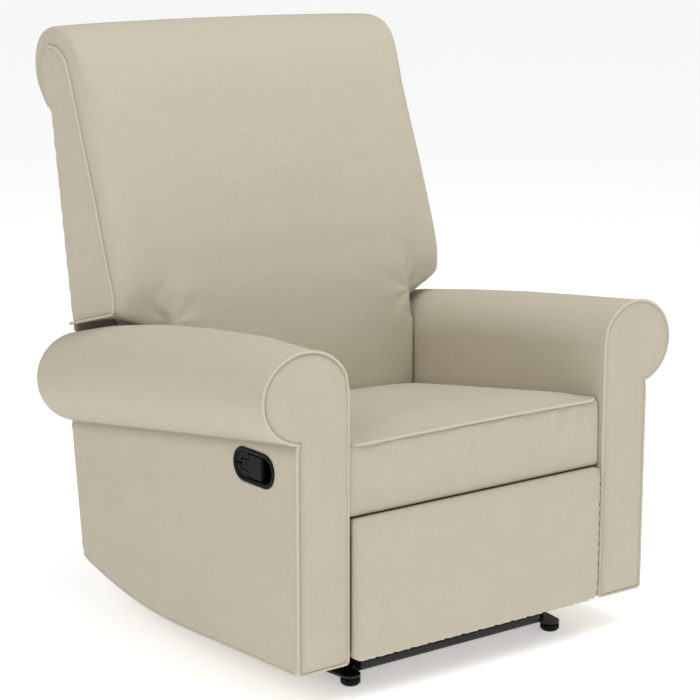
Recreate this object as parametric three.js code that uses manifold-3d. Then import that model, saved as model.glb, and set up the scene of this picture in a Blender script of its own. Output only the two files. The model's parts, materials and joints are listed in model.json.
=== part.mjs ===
// Rocker recliner armchair: scroll arms, T-shaped reclining back, swing-out footrest and a recessed
// release handle in the sitter's right arm. Millimetres, +Z up, the sitter faces -Y.
// "left" and "right" are the sitter's: left is +X, right is -X.
// While the pieces are made, y = 0 is the front of the arms and z = 0 is the floor. The last lines move
// the origin to the floor under the middle of the bounding box.
import * as THREE from "three";
import { mergeVertices } from "three/addons/utils/BufferGeometryUtils.js";
import Module from "manifold-3d";

const wasm = await Module();
wasm.setup();
const rad = THREE.MathUtils.degToRad;

// ---- Driving dimensions -------------------------------------------------------------------------
const SEAT_WIDTH = 542; // between the arms' inner faces
const SEAT_DEPTH = 510; // front of the arms to the front of the back
const SEAT_HEIGHT = 429; // floor to the top of the seat's front edge
const CUSHION_THICKNESS = 121;
const FALL = rad(8.3); // how far seat and arms slope down towards the back
const ARM_WIDTH = 101; // arm panel, inner face to outer face
const ARM_TAIL = 227; // how far the arms reach behind the front of the back
const ROLL_RADIUS = 82; // scroll on top of the arm
const ROLL_HEIGHT = 519; // floor to the scroll's centre at the front
const ARM_GAP_FRONT = 67; // floor to the arm, at its front
const ARM_GAP_BELLY = 51; // floor to the arm, at its lowest
const ARM_GAP_HEEL = 86; // floor to the arm, at the rear corner
const BACK_WIDTH = 710; // the part above the arms
const BACK_RISE = 707; // back pivot to the top of the head roll
const BACK_LEAN = rad(8.6); // rear face from the vertical
const HEAD_ROLL_RADIUS = 56;
const PANEL_FLOOR_GAP = 75; // floor to the footrest panel
const PANEL_PAD = 20; // padding on the footrest board
const BOARD = 17; // plywood and board thickness
const STEEL = 3; // mechanism side plates
const LINK = 4; // footrest link thickness
const LINK_RADIUS = 11; // half a link's width
const LINK_HEADROOM = 28; // scissor's upper pins below the cushion's front edge
const PIVOT_INSET = 69; // back pivot, in front of the arms' rear end
const TUBE_RADIUS = 12.5; // cross tubes of the base
const FOOT_RADIUS = 17;
const FOOT_HEIGHT = 14;
const BASE_HALF_TRACK = 220; // centre line to the feet
const BASE_FRONT = 67; // front feet, from the front of the arms
const BASE_REAR_INSET = 107; // rear feet, in front of the arms' rear end
const ROCKER_RADIUS = 320; // curve of the rocker cams
const CAM_HALF = 229; // half a cam's length
const ROCK_OFFSET = 11.5; // where the cams touch the rails at rest, behind the middle of the feet
const SEAT_GLIDE = 35; // how far the seat box slides forward as the back reclines
const CUP_LENGTH = 117; // release handle cup, along the arm
const CUP_HEIGHT = 58;
const CUP_DEPTH = 24;

// ---- Clearances ---------------------------------------------------------------------------------
const TOUCH = 0.3; // between pieces that bear on each other
const RUN = 0.4; // round a pivot pin
const SIDE_GAP = 3; // cushions to the arms
const SCISSOR_GAP = 4.08; // between the closed scissor's parallel links
const LINK_RUN = 5.54; // closed scissor to the footrest board
const CUP_GAP = 6.8; // release cup to the scroll above it
const SEAT_BOX_GAP = 10; // seat box to the stretchers below it
const EAR_GAP_FRONT = 33; // scroll to the underside of the back's ears
const EAR_GAP_REAR = 29.5;

// ---- Places worked out from them ------------------------------------------------------------------
const INNER = SEAT_WIDTH / 2; // arm's inner face
const OUTER = INNER + ARM_WIDTH; // arm's outer face
const ROLL_X = INNER + ROLL_RADIUS; // scroll's centre line
const SLOPE = Math.tan(FALL);
const ARM_DEPTH = SEAT_DEPTH + ARM_TAIL; // front face to the rear end of the roll
const rollZ = (y) => ROLL_HEIGHT - y * SLOPE; // height of the scroll's centre line
const CUSHION_BOTTOM = SEAT_HEIGHT - CUSHION_THICKNESS; // at the front
const PLATE_OUT = INNER - TOUCH; // mechanism plate, outer face
const PLATE_IN = PLATE_OUT - STEEL;
const LAYER_GAP = 1; // between neighbouring links
const layer = (n) => PLATE_IN - LAYER_GAP - n * (LINK + LAYER_GAP); // outer face of link layer n
const PANEL_TOP = CUSHION_BOTTOM - 5;
const PANEL_FRONT = -11; // the padded panel stands a little proud of the arms
const BOARD_FRONT = PANEL_FRONT + PANEL_PAD + TOUCH;
const BOARD_BACK = BOARD_FRONT + BOARD;
const cushionUnder = (y) => CUSHION_BOTTOM - y * SLOPE; // underside of the seat cushion
const PIVOT_Y = ARM_DEPTH - PIVOT_INSET;
const PIVOT_Z = cushionUnder(PIVOT_Y) + 124.45;
const GUSSET = 4; // foot plates welded under the rails
const RAIL_BOTTOM = FOOT_HEIGHT + TOUCH + GUSSET - 0.5;
const RAIL_HEIGHT = 2 * TUBE_RADIUS + 3;
const RAIL_TOP = RAIL_BOTTOM + RAIL_HEIGHT;
const RAIL_HALF = 12;
const RAIL_X = BASE_HALF_TRACK - 10;
const CAM_GAP = 4; // running gap that stands for the roll of the cams
const CAM_BOTTOM = RAIL_TOP + CAM_GAP;
const STRETCHER = 25;
const SEAT_RAIL_TOP = -5.2; // seat box below the cushion's underside
const SEAT_RAIL_HEIGHT = 38;
const SEAT_REAR_RAIL = SEAT_DEPTH + 50;
const seatBoxLow = cushionUnder(SEAT_REAR_RAIL + 22) + SEAT_RAIL_TOP - SEAT_RAIL_HEIGHT;
const STRETCHER_Z = seatBoxLow - SEAT_BOX_GAP - STRETCHER;
const CAM_TOP = STRETCHER_Z - TOUCH;
const BASE_REAR = ARM_DEPTH - BASE_REAR_INSET;
const ROCK_Y = (BASE_FRONT + BASE_REAR) / 2 + ROCK_OFFSET;

// ---- Materials ----------------------------------------------------------------------------------
const finish = (color, roughness, metalness) =>
  new THREE.MeshStandardMaterial({ color, roughness, metalness });
const fabric = () => finish(0xc9bda8, 0.92, 0);
const plywood = () => finish(0xb58a5a, 0.75, 0);
const blackSteel = () => finish(0x15161a, 0.45, 0.8);
const springSteel = () => finish(0x77797c, 0.4, 0.9);
const blackPlastic = () => finish(0x1d241f, 0.4, 0);

// ---- Shape helpers ------------------------------------------------------------------------------
const X = new THREE.Vector3(1, 0, 0);
const Y = new THREE.Vector3(0, 1, 0);
const Z = new THREE.Vector3(0, 0, 1);
const BACKWARDS = new THREE.Vector3(0, -1, 0);
const SIDES = [
  { side: "left", s: 1 },
  { side: "right", s: -1 },
];

function solidOf(geometry) {
  const bare = geometry.index ? geometry.toNonIndexed() : geometry.clone();
  for (const name of Object.keys(bare.attributes))
    if (name !== "position") bare.deleteAttribute(name);
  const merged = mergeVertices(bare, 1e-3);
  return new wasm.Manifold(
    new wasm.Mesh({
      numProp: 3,
      vertProperties: merged.attributes.position.array,
      triVerts: new Uint32Array(merged.index.array),
    }),
  );
}

function geometryOf(solid) {
  const mesh = solid.getMesh();
  const geometry = new THREE.BufferGeometry();
  geometry.setAttribute("position", new THREE.BufferAttribute(mesh.vertProperties, 3));
  geometry.setIndex(new THREE.BufferAttribute(mesh.triVerts, 1));
  geometry.computeVertexNormals();
  return geometry;
}

const join = (first, ...rest) =>
  geometryOf(rest.reduce((sum, g) => sum.add(solidOf(g)), solidOf(first)));
const cut = (first, ...rest) =>
  geometryOf(rest.reduce((left, g) => left.subtract(solidOf(g)), solidOf(first)));
const common = (a, b) => geometryOf(solidOf(a).intersect(solidOf(b)));

// An outline in the YZ plane, given thickness from x0 to x1.
function sidePlate(shape, x0, x1, curveSegments = 5) {
  const [low, high] = x0 < x1 ? [x0, x1] : [x1, x0];
  const g = new THREE.ExtrudeGeometry(shape, { depth: high - low, bevelEnabled: false, curveSegments });
  return g.applyMatrix4(new THREE.Matrix4().makeBasis(Y, Z, X)).translate(low, 0, 0);
}

// An outline in the XZ plane, given thickness from y0 to y1.
function frontPlate(shape, y0, y1, curveSegments = 5) {
  const g = new THREE.ExtrudeGeometry(shape, { depth: y1 - y0, bevelEnabled: false, curveSegments });
  return g.applyMatrix4(new THREE.Matrix4().makeBasis(X, Z, BACKWARDS)).translate(0, y1, 0);
}

// An outline in the XY plane, given thickness from z0 to z1.
function topPlate(shape, z0, z1, curveSegments = 5) {
  const g = new THREE.ExtrudeGeometry(shape, { depth: z1 - z0, bevelEnabled: false, curveSegments });
  return g.translate(0, 0, z0);
}

function box(x0, x1, y0, y1, z0, z1) {
  const g = new THREE.BoxGeometry(Math.abs(x1 - x0), y1 - y0, z1 - z0);
  return g.translate((x0 + x1) / 2, (y0 + y1) / 2, (z0 + z1) / 2);
}

const outline = (points) => new THREE.Shape(points.map(([a, b]) => new THREE.Vector2(a, b)));

function rodX(radius, x0, x1, y, z, sides = 12) {
  const g = new THREE.CylinderGeometry(radius, radius, Math.abs(x1 - x0), sides);
  return g.rotateZ(Math.PI / 2).translate((x0 + x1) / 2, y, z);
}

function rodZ(radius, x, y, z0, z1, sides = 12) {
  const g = new THREE.CylinderGeometry(radius, radius, z1 - z0, sides);
  return g.rotateX(Math.PI / 2).translate(x, y, (z0 + z1) / 2);
}

// A strip with round ends from point a to point b, [y, z] each, with round holes [y, z, radius].
function strip(a, b, radius, holes = []) {
  const angle = Math.atan2(b[1] - a[1], b[0] - a[0]);
  const shape = new THREE.Shape();
  shape.absarc(a[0], a[1], radius, angle + Math.PI / 2, angle + (3 * Math.PI) / 2, false);
  shape.absarc(b[0], b[1], radius, angle - Math.PI / 2, angle + Math.PI / 2, false);
  shape.closePath();
  for (const [y, z, r] of holes) {
    const hole = new THREE.Path();
    hole.absarc(y, z, r, 0, 2 * Math.PI, true);
    shape.holes.push(hole);
  }
  return shape;
}

// A round wire or sleeve along a curve.
function wire(curve, radius, sides, steps) {
  const section = new THREE.Shape();
  for (let i = 0; i < sides; i++) {
    const a = (2 * Math.PI * i) / sides;
    const place = [radius * Math.cos(a), radius * Math.sin(a)];
    if (i) section.lineTo(...place);
    else section.moveTo(...place);
  }
  return new THREE.ExtrudeGeometry(section, { steps, extrudePath: curve, bevelEnabled: false });
}

class Helix extends THREE.Curve {
  constructor(x, y, z0, z1, radius, turns) {
    super();
    Object.assign(this, { x, y, z0, z1, radius, turns });
  }
  getPoint(t, target = new THREE.Vector3()) {
    const a = 2 * Math.PI * this.turns * t;
    return target.set(
      this.x + this.radius * Math.cos(a),
      this.y + this.radius * Math.sin(a),
      this.z0 + (this.z1 - this.z0) * t,
    );
  }
}

class Zigzag extends THREE.Curve {
  constructor(x, y0, y1, z, amplitude, waves) {
    super();
    Object.assign(this, { x, y0, y1, z, amplitude, waves });
  }
  getPoint(t, target = new THREE.Vector3()) {
    const a = 2 * Math.PI * this.waves * t;
    return target.set(this.x + this.amplitude * Math.sin(a), this.y0 + (this.y1 - this.y0) * t, this.z);
  }
}

const chair = new THREE.Group();
function add(name, geometry, material, parent = chair) {
  const mesh = new THREE.Mesh(geometry, material);
  mesh.name = name;
  parent.add(mesh);
  return mesh;
}

// ---- Base: two rails on four glides, joined by two cross tubes ------------------------------------
function glide(x, y) {
  const profile = [
    [0, 0],
    [FOOT_RADIUS - 4, 0],
    [FOOT_RADIUS, 4],
    [FOOT_RADIUS, FOOT_HEIGHT - 3],
    [FOOT_RADIUS - 3, FOOT_HEIGHT],
    [0, FOOT_HEIGHT],
  ].map(([r, z]) => new THREE.Vector2(r, z));
  return new THREE.LatheGeometry(profile, 16).rotateX(Math.PI / 2).translate(x, y, 0);
}

const GUSSET_LENGTH = 62;
const GUSSET_FLARE = 8; // how much wider each side is at the rail's end

// A gusset that is narrow at the foot and wide under the rail. towards is +1 when the rail lies behind.
function footBracket(x, y, towards) {
  const nose = FOOT_RADIUS;
  const length = GUSSET_LENGTH * towards;
  const shape = new THREE.Shape();
  shape.moveTo(x - nose, y);
  if (towards > 0) shape.absarc(x, y, nose, Math.PI, 2 * Math.PI, false);
  else shape.absarc(x, y, nose, Math.PI, 0, true);
  shape.lineTo(x + nose + GUSSET_FLARE, y + length);
  shape.lineTo(x - nose - GUSSET_FLARE, y + length);
  shape.closePath();
  return topPlate(shape, FOOT_HEIGHT + TOUCH, FOOT_HEIGHT + TOUCH + GUSSET);
}

function channel(x, y0, y1) {
  const wall = 3;
  const u = outline([
    [x - RAIL_HALF, RAIL_BOTTOM],
    [x - RAIL_HALF + wall, RAIL_BOTTOM],
    [x - RAIL_HALF + wall, RAIL_TOP - wall],
    [x + RAIL_HALF - wall, RAIL_TOP - wall],
    [x + RAIL_HALF - wall, RAIL_BOTTOM],
    [x + RAIL_HALF, RAIL_BOTTOM],
    [x + RAIL_HALF, RAIL_TOP],
    [x - RAIL_HALF, RAIL_TOP],
  ]);
  return frontPlate(u, y0, y1);
}

const railFront = BASE_FRONT + FOOT_RADIUS + 2;
const railRear = BASE_REAR - FOOT_RADIUS - 2;
const TUBE_AHEAD = 7; // front tube's centre line, ahead of the rails
const TUBE_DROP = 4; // and its lowest line, below them
const TUBE_INSET = 6;
const tubeRearY = railRear - TUBE_RADIUS - TUBE_INSET;
const tubeFrontZ = RAIL_BOTTOM + TUBE_RADIUS - TUBE_DROP;
const tubeRearZ = RAIL_BOTTOM + RAIL_HEIGHT / 2;
const tubeEnd = RAIL_X - RAIL_HALF - TOUCH;
const frontTube = rodX(TUBE_RADIUS, -tubeEnd, tubeEnd, railFront - TUBE_AHEAD, tubeFrontZ, 20);
add("base_front_tube", frontTube, blackSteel());
add("base_rear_tube", rodX(TUBE_RADIUS, -tubeEnd, tubeEnd, tubeRearY, tubeRearZ, 20), blackSteel());
const springX = RAIL_X - RAIL_HALF - 12;
const springSeatZ = RAIL_BOTTOM + 6;
for (const { side, s } of SIDES) {
  const rail = join(
    channel(s * RAIL_X, railFront, railRear),
    footBracket(s * BASE_HALF_TRACK, BASE_FRONT, 1),
    footBracket(s * BASE_HALF_TRACK, BASE_REAR, -1),
    box(s * (RAIL_X - RAIL_HALF + 1), s * (springX - 10), ROCK_Y - 14, ROCK_Y + 14, springSeatZ - 3, springSeatZ),
  );
  add(`base_rail_${side}`, rail, blackSteel());
  add(`glide_foot_front_${side}`, glide(s * BASE_HALF_TRACK, BASE_FRONT), blackPlastic());
  add(`glide_foot_rear_${side}`, glide(s * BASE_HALF_TRACK, BASE_REAR), blackPlastic());
}

// ---- Rocker: cams under the seat box, stretchers on the cams, a coil spring beside each cam --------
const camRise = CAM_TOP - CAM_BOTTOM;
const camReach = Math.min(CAM_HALF, Math.sqrt(2 * ROCKER_RADIUS * camRise - camRise ** 2));
function rockerCam(x) {
  const half = Math.asin(camReach / ROCKER_RADIUS);
  const shape = new THREE.Shape();
  shape.moveTo(ROCK_Y - camReach, CAM_TOP);
  const centre = CAM_BOTTOM + ROCKER_RADIUS;
  shape.absarc(ROCK_Y, centre, ROCKER_RADIUS, -Math.PI / 2 - half, -Math.PI / 2 + half, false);
  shape.lineTo(ROCK_Y + camReach, CAM_TOP);
  shape.closePath();
  return sidePlate(shape, x - RAIL_HALF + 2, x + RAIL_HALF - 2, 12);
}

for (const { side, s } of SIDES) {
  add(`rocker_cam_${side}`, rockerCam(s * RAIL_X), plywood());
  const coil = new Helix(s * springX, ROCK_Y, springSeatZ + 2.2, CAM_TOP - 14, 8, 5);
  add(`rocker_spring_${side}`, wire(coil, 1.5, 6, 50), springSteel());
}
const stretcherFrontY = ROCK_Y - camReach + 26;
const stretcherRearY = ROCK_Y + camReach - 26 - STRETCHER;
for (const [end, y] of [["front", stretcherFrontY], ["rear", stretcherRearY]]) {
  const bar = box(-PLATE_IN + TOUCH, PLATE_IN - TOUCH, y, y + STRETCHER, STRETCHER_Z, STRETCHER_Z + STRETCHER);
  add(`cam_stretcher_${end}`, bar, plywood());
}

// ---- Arms -----------------------------------------------------------------------------------------
const WALL_IN = 16;
const WALL_OUT = 12;
const FRONT_PAD = 26;
const ROLL_PAD = 45; // scroll's centre line down to the hollow below it
const HEEL_RISE = 26; // height of the turn at the arm's heel
const heel = {
  y: ARM_DEPTH - (rollZ(ARM_DEPTH) - ARM_GAP_HEEL - HEEL_RISE) * SLOPE,
  z: ARM_GAP_HEEL + HEEL_RISE,
};

function armOutline() {
  const shape = new THREE.Shape();
  shape.moveTo(0, ARM_GAP_FRONT);
  shape.lineTo(ARM_DEPTH * 0.45, ARM_GAP_BELLY);
  shape.quadraticCurveTo(ARM_DEPTH * 0.68, ARM_GAP_BELLY - 9, heel.y - 24, ARM_GAP_HEEL);
  shape.quadraticCurveTo(heel.y - 6, ARM_GAP_HEEL + 6, heel.y, heel.z);
  shape.lineTo(ARM_DEPTH, rollZ(ARM_DEPTH));
  shape.lineTo(0, ROLL_HEIGHT);
  shape.closePath();
  return shape;
}

// The hollow that holds the arm's boards, open below.
function armHollow(inset, bottom) {
  const front = FRONT_PAD + inset;
  const rear = heel.y - 34 - inset;
  return outline([
    [front, bottom],
    [rear, bottom],
    [rear, rollZ(rear) - ROLL_PAD - inset],
    [front, rollZ(front) - ROLL_PAD - inset],
  ]);
}

function arm() {
  const circle = new THREE.Shape();
  circle.absarc(0, 0, ROLL_RADIUS, 0, 2 * Math.PI, false);
  const long = ARM_DEPTH / Math.cos(FALL);
  const roll = frontPlate(circle, -ROLL_RADIUS, long, 14).rotateX(-FALL).translate(ROLL_X, 0, ROLL_HEIGHT);
  const behindFront = box(0, 2 * OUTER, 0, 2 * ARM_DEPTH, 0, 2 * ROLL_HEIGHT);
  const body = join(sidePlate(armOutline(), INNER, OUTER), common(roll, behindFront));
  return cut(body, sidePlate(armHollow(0, 0), INNER + WALL_IN, OUTER - WALL_OUT));
}

// ---- Release handle: cup, paddle and pin in the right arm's outer face, cable to the latch ----------
const cupY = 118;
const cupZ = rollZ(cupY) - ROLL_RADIUS - CUP_GAP - CUP_HEIGHT / 2;
const cupFace = -OUTER - 3; // the flange stands 3 mm proud
const cupBody = 6; // the body is this much smaller all round than the flange
const pinY = cupY + 30;
const pinX = -OUTER + 6;
function raceTrack(length, height) {
  const r = height / 2;
  return strip([cupY - length / 2 + r, cupZ], [cupY + length / 2 - r, cupZ], r);
}
const cupHole = (gap) =>
  sidePlate(raceTrack(CUP_LENGTH - 2 * cupBody + 2 * gap, CUP_HEIGHT - 2 * cupBody + 2 * gap), -OUTER - 20,
    -OUTER + 60, 8);

function releaseCup() {
  const flange = sidePlate(raceTrack(CUP_LENGTH, CUP_HEIGHT), cupFace, -OUTER - TOUCH, 8);
  const body = sidePlate(raceTrack(CUP_LENGTH - 2 * cupBody, CUP_HEIGHT - 2 * cupBody), -OUTER - 1,
    -OUTER + CUP_DEPTH, 8);
  const wall = 3;
  const r = CUP_HEIGHT / 2 - cupBody - wall;
  const nose = cupY - CUP_LENGTH / 2 + cupBody + wall + r;
  const pocket = new THREE.Shape();
  pocket.absarc(nose, cupZ, r, Math.PI / 2, (3 * Math.PI) / 2, false);
  pocket.lineTo(cupY + 6, cupZ - r);
  pocket.lineTo(cupY + 6, cupZ - 9);
  pocket.lineTo(cupY + 43, cupZ - 9);
  pocket.lineTo(cupY + 43, cupZ + 9);
  pocket.lineTo(cupY + 6, cupZ + 9);
  pocket.lineTo(cupY + 6, cupZ + r);
  pocket.closePath();
  return cut(join(flange, body), sidePlate(pocket, cupFace - 5, -OUTER + CUP_DEPTH - wall),
    rodZ(1.6 + TOUCH, pinX, pinY, cupZ - 17, cupZ + 17));
}

function releasePaddle() {
  const t = outline([
    [cupY - 26, cupZ - 19],
    [cupY - 2, cupZ - 19],
    [cupY - 2, cupZ - 7.5],
    [pinY + 5, cupZ - 7.5],
    [pinY + 5, cupZ + 7.5],
    [cupY - 2, cupZ + 7.5],
    [cupY - 2, cupZ + 19],
    [cupY - 26, cupZ + 19],
  ]);
  const plate = sidePlate(t, -OUTER - 1, -OUTER + 4);
  const boss = rodZ(5, pinX, pinY, cupZ - 7.5, cupZ + 7.5);
  return cut(join(plate, boss), rodZ(1.6 + RUN, pinX, pinY, cupZ - 20, cupZ + 20));
}

const armLeft = arm();
const armRight = arm().clone();
const mirrored = solidOf(armRight.applyMatrix4(new THREE.Matrix4().makeScale(-1, 1, 1)).setIndex(
  new THREE.BufferAttribute(Uint32Array.from(armRight.index.array).reverse(), 1)));
add("arm_upholstery_left", armLeft, fabric());
add("arm_upholstery_right", cut(geometryOf(mirrored), cupHole(TOUCH)), fabric());

const boardIn = INNER + WALL_IN + TOUCH;
const boardBottom = ARM_GAP_HEEL + 10;
for (const { side, s } of SIDES) {
  add(`arm_side_board_${side}`, sidePlate(armHollow(0.5, boardBottom), s * boardIn, s * (boardIn + BOARD)),
    plywood());
  const postIn = boardIn + BOARD + TOUCH;
  const postOut = OUTER - WALL_OUT - TOUCH;
  const frontY = FRONT_PAD + TOUCH;
  const frontTop = rollZ(frontY + BOARD) - ROLL_PAD - 0.5;
  add(`arm_front_post_${side}`, box(s * postIn, s * postOut, frontY, frontY + BOARD, boardBottom, frontTop),
    plywood());
  const rearY = heel.y - 34 - TOUCH;
  const rearTop = rollZ(rearY) - ROLL_PAD - 0.5;
  add(`arm_rear_post_${side}`, box(s * postIn, s * postOut, rearY - BOARD, rearY, boardBottom, rearTop),
    plywood());
}

add("release_cup", releaseCup(), blackPlastic());
add("release_paddle", releasePaddle(), blackPlastic());
add("release_pin", rodZ(1.6, pinX, pinY, cupZ - 16, cupZ + 16, 8), springSteel());

// ---- Mechanism side plates and the footrest linkage -------------------------------------------------
// Each side has a two-stage scissor. Links A and C lean forwards, links B and D backwards; A and B cross
// at their middles, and so do C and D.
const rootPin = [BOARD_BACK + LINK_RUN + 5 * LINK_RADIUS + 2 * SCISSOR_GAP, PANEL_FLOOR_GAP + 5];
const LINK_LENGTH = CUSHION_BOTTOM - LINK_HEADROOM - rootPin[1];
const HALF_SPREAD = rad(2.5); // A and C stand this much steeper than the mean, B and D less
const meanSteep = Math.acos((2 * LINK_RADIUS + SCISSOR_GAP) / (LINK_LENGTH * Math.cos(HALF_SPREAD)));
const STEEP_A = meanSteep + HALF_SPREAD; // closed angle of A and C above the forward horizontal
const STEEP_B = meanSteep - HALF_SPREAD; // closed angle of B and D below it
const along = (from, length, angle) => [from[0] - length * Math.cos(angle), from[1] + length * Math.sin(angle)];
const topA = along(rootPin, LINK_LENGTH, STEEP_A);
const midA = along(rootPin, LINK_LENGTH / 2, STEEP_A);
const rearB = along(midA, -LINK_LENGTH / 2, -STEEP_B);
const lowB = along(midA, LINK_LENGTH / 2, -STEEP_B);
const endD = along(topA, LINK_LENGTH, -STEEP_B);
const midD = along(topA, LINK_LENGTH / 2, -STEEP_B);
const topC = along(lowB, LINK_LENGTH, STEEP_A);
const PIN = 4;
const hole = (p) => [p[0], p[1], PIN + RUN];
const pin = (s, p, from, to) => rodX(PIN, s * from, s * to, p[0], p[1], 10);

const plateFrontTop = [200, cushionUnder(200) - 42.8];
const plateRearTop = [PIVOT_Y + 8, cushionUnder(PIVOT_Y + 8) - 4];
const latchPin = [plateFrontTop[0] + 38, plateFrontTop[1] - 44];
const latchTip = [latchPin[0] - 42, latchPin[1] + 12];

function sidePlateOutline() {
  const shape = outline([
    [rootPin[0] - 17, PANEL_FLOOR_GAP - 10],
    [rootPin[0] + 23, PANEL_FLOOR_GAP - 12],
    [200, PANEL_FLOOR_GAP + 29],
    [PIVOT_Y - 30, plateRearTop[1] - 101],
    [PIVOT_Y + 8, plateRearTop[1] - 55],
    plateRearTop,
    plateFrontTop,
    [rootPin[0] + 35, plateFrontTop[1] - 46],
    [rootPin[0] - 15, PANEL_FLOOR_GAP + 25],
  ]);
  const pivot = new THREE.Path();
  pivot.absarc(rootPin[0], rootPin[1], PIN + RUN, 0, 2 * Math.PI, true);
  shape.holes.push(pivot);
  return shape;
}

for (const { side, s } of SIDES) {
  const plate = (shape, n) => sidePlate(shape, s * layer(n), s * (layer(n) - LINK));
  const upper = layer(0);
  const lower = layer(1) - LINK;
  const plain = sidePlate(sidePlateOutline(), s * PLATE_OUT, s * PLATE_IN);
  const latchStud = rodX(3, s * (PLATE_IN + 1), s * (layer(0) - LINK - 1), ...latchPin, 10);
  add(`mechanism_plate_${side}`, s < 0 ? join(plain, latchStud) : plain, blackSteel());
  const linkA = join(
    plate(strip(rootPin, topA, LINK_RADIUS, [hole(midA), hole(topA)]), 0),
    pin(s, rootPin, upper - 1, PLATE_OUT - TOUCH),
  );
  add(`footrest_link_a_${side}`, linkA, blackSteel());
  const linkB = join(plate(strip(rearB, lowB, LINK_RADIUS, [hole(lowB)]), 1), pin(s, midA, lower + 1, upper));
  add(`footrest_link_b_${side}`, linkB, blackSteel());
  const linkD = join(
    plate(strip(topA, endD, LINK_RADIUS, []), 1),
    pin(s, topA, lower + 1, upper),
    pin(s, midD, lower + 1, upper),
  );
  add(`footrest_link_d_${side}`, linkD, blackSteel());
  const linkC = join(
    plate(strip(lowB, topC, LINK_RADIUS, [hole(midD), hole(topC)]), 0),
    pin(s, lowB, lower, upper - 1),
  );
  add(`footrest_link_c_${side}`, linkC, blackSteel());
}
const torqueEnd = layer(0) - LINK - TOUCH;
add("torque_tube", rodX(8, -torqueEnd, torqueEnd, rootPin[0], rootPin[1], 12), blackSteel());

// ---- Footrest panel -------------------------------------------------------------------------------
function panelOutline(half, bottom, top, corner) {
  const shape = new THREE.Shape();
  shape.moveTo(-half, top);
  shape.lineTo(-half, bottom + corner);
  shape.absarc(-half + corner, bottom + corner, corner, Math.PI, 1.5 * Math.PI, false);
  shape.absarc(half - corner, bottom + corner, corner, 1.5 * Math.PI, 2 * Math.PI, false);
  shape.lineTo(half, top);
  shape.closePath();
  return shape;
}
const panelHalf = INNER - 6;
add("footrest_pad", frontPlate(panelOutline(panelHalf, PANEL_FLOOR_GAP, PANEL_TOP, 14), PANEL_FRONT,
  PANEL_FRONT + PANEL_PAD), fabric());
add("footrest_board", frontPlate(panelOutline(panelHalf - 2, PANEL_FLOOR_GAP + 2, PANEL_TOP - 1, 12),
  BOARD_FRONT, BOARD_BACK), plywood());
for (const { side, s } of SIDES) {
  const foot = BOARD_BACK + TOUCH;
  const lug = new THREE.Shape();
  lug.moveTo(foot, PANEL_TOP - 90);
  lug.lineTo(topC[0] + LINK_RADIUS - 3, topC[1] - 20);
  lug.absarc(topC[0], topC[1], LINK_RADIUS, -0.5, Math.PI / 2, false);
  lug.lineTo(foot, topC[1] + LINK_RADIUS);
  lug.closePath();
  const bracket = join(
    sidePlate(lug, s * layer(2), s * (layer(2) - LINK)),
    pin(s, topC, layer(2) - 1, layer(0)),
    box(s * (layer(2) - LINK), s * (layer(2) - 28), foot, foot + 3, PANEL_TOP - 90, topC[1] + LINK_RADIUS),
  );
  add(`footrest_bracket_${side}`, bracket, blackSteel());
}

// ---- Latch, on a stud of the right mechanism plate ---------------------------------------------------
const latch = cut(
  join(
    sidePlate(strip(latchPin, latchTip, 7), -layer(0), -(layer(0) - LINK)),
    sidePlate(strip(latchPin, [latchPin[0] + 6, latchPin[1] + 26], 6), -layer(0), -(layer(0) - LINK)),
  ),
  rodX(3 + RUN, -layer(0) - 5, -layer(0) + 9, ...latchPin),
);
add("latch_pawl", latch, blackSteel());

// ---- Seat: a box of rails that falls with the seat, zigzag springs across it, and the cushion --------
const seat = new THREE.Group();
seat.position.z = CUSHION_BOTTOM;
seat.rotation.x = -FALL;
chair.add(seat);
const railHalf = INNER - 15.3;
const seatFrontT = topC[0] + LINK_RADIUS + SEAT_GLIDE + 10;
const seatRail = (t) =>
  box(-railHalf, railHalf, t, t + 22, SEAT_RAIL_TOP - SEAT_RAIL_HEIGHT, SEAT_RAIL_TOP);
add("seat_front_rail", seatRail(seatFrontT), plywood(), seat);
add("seat_rear_rail", seatRail(SEAT_REAR_RAIL), plywood(), seat);
for (const { side, s } of SIDES) {
  const board = box(s * (railHalf - 19), s * railHalf, seatFrontT + 22 + TOUCH, SEAT_REAR_RAIL - TOUCH,
    SEAT_RAIL_TOP - SEAT_RAIL_HEIGHT, SEAT_RAIL_TOP);
  add(`seat_side_rail_${side}`, board, plywood(), seat);
}
const springCount = 4;
for (let i = 0; i < springCount; i++) {
  const x = (i - (springCount - 1) / 2) * (SEAT_WIDTH / (springCount + 0.7));
  const zigzag = new Zigzag(x, seatFrontT + 4, SEAT_REAR_RAIL + 18, SEAT_RAIL_TOP + 2.4, 24, 9);
  add(`seat_spring_${i + 1}`, wire(zigzag, 1.9, 5, 72), springSteel(), seat);
}

function seatCushion() {
  const front = 3;
  const rear = SEAT_DEPTH;
  const top = (y) => SEAT_HEIGHT - (y - 20) * SLOPE;
  const shape = new THREE.Shape();
  shape.moveTo(front, CUSHION_BOTTOM);
  shape.lineTo(rear, CUSHION_BOTTOM - rear * SLOPE);
  shape.lineTo(rear, top(rear));
  shape.lineTo(30, top(30));
  shape.quadraticCurveTo(front + 2, SEAT_HEIGHT, front, SEAT_HEIGHT - 16);
  shape.closePath();
  return sidePlate(shape, -(INNER - SIDE_GAP), INNER - SIDE_GAP);
}
add("seat_cushion", seatCushion(), fabric());

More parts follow.
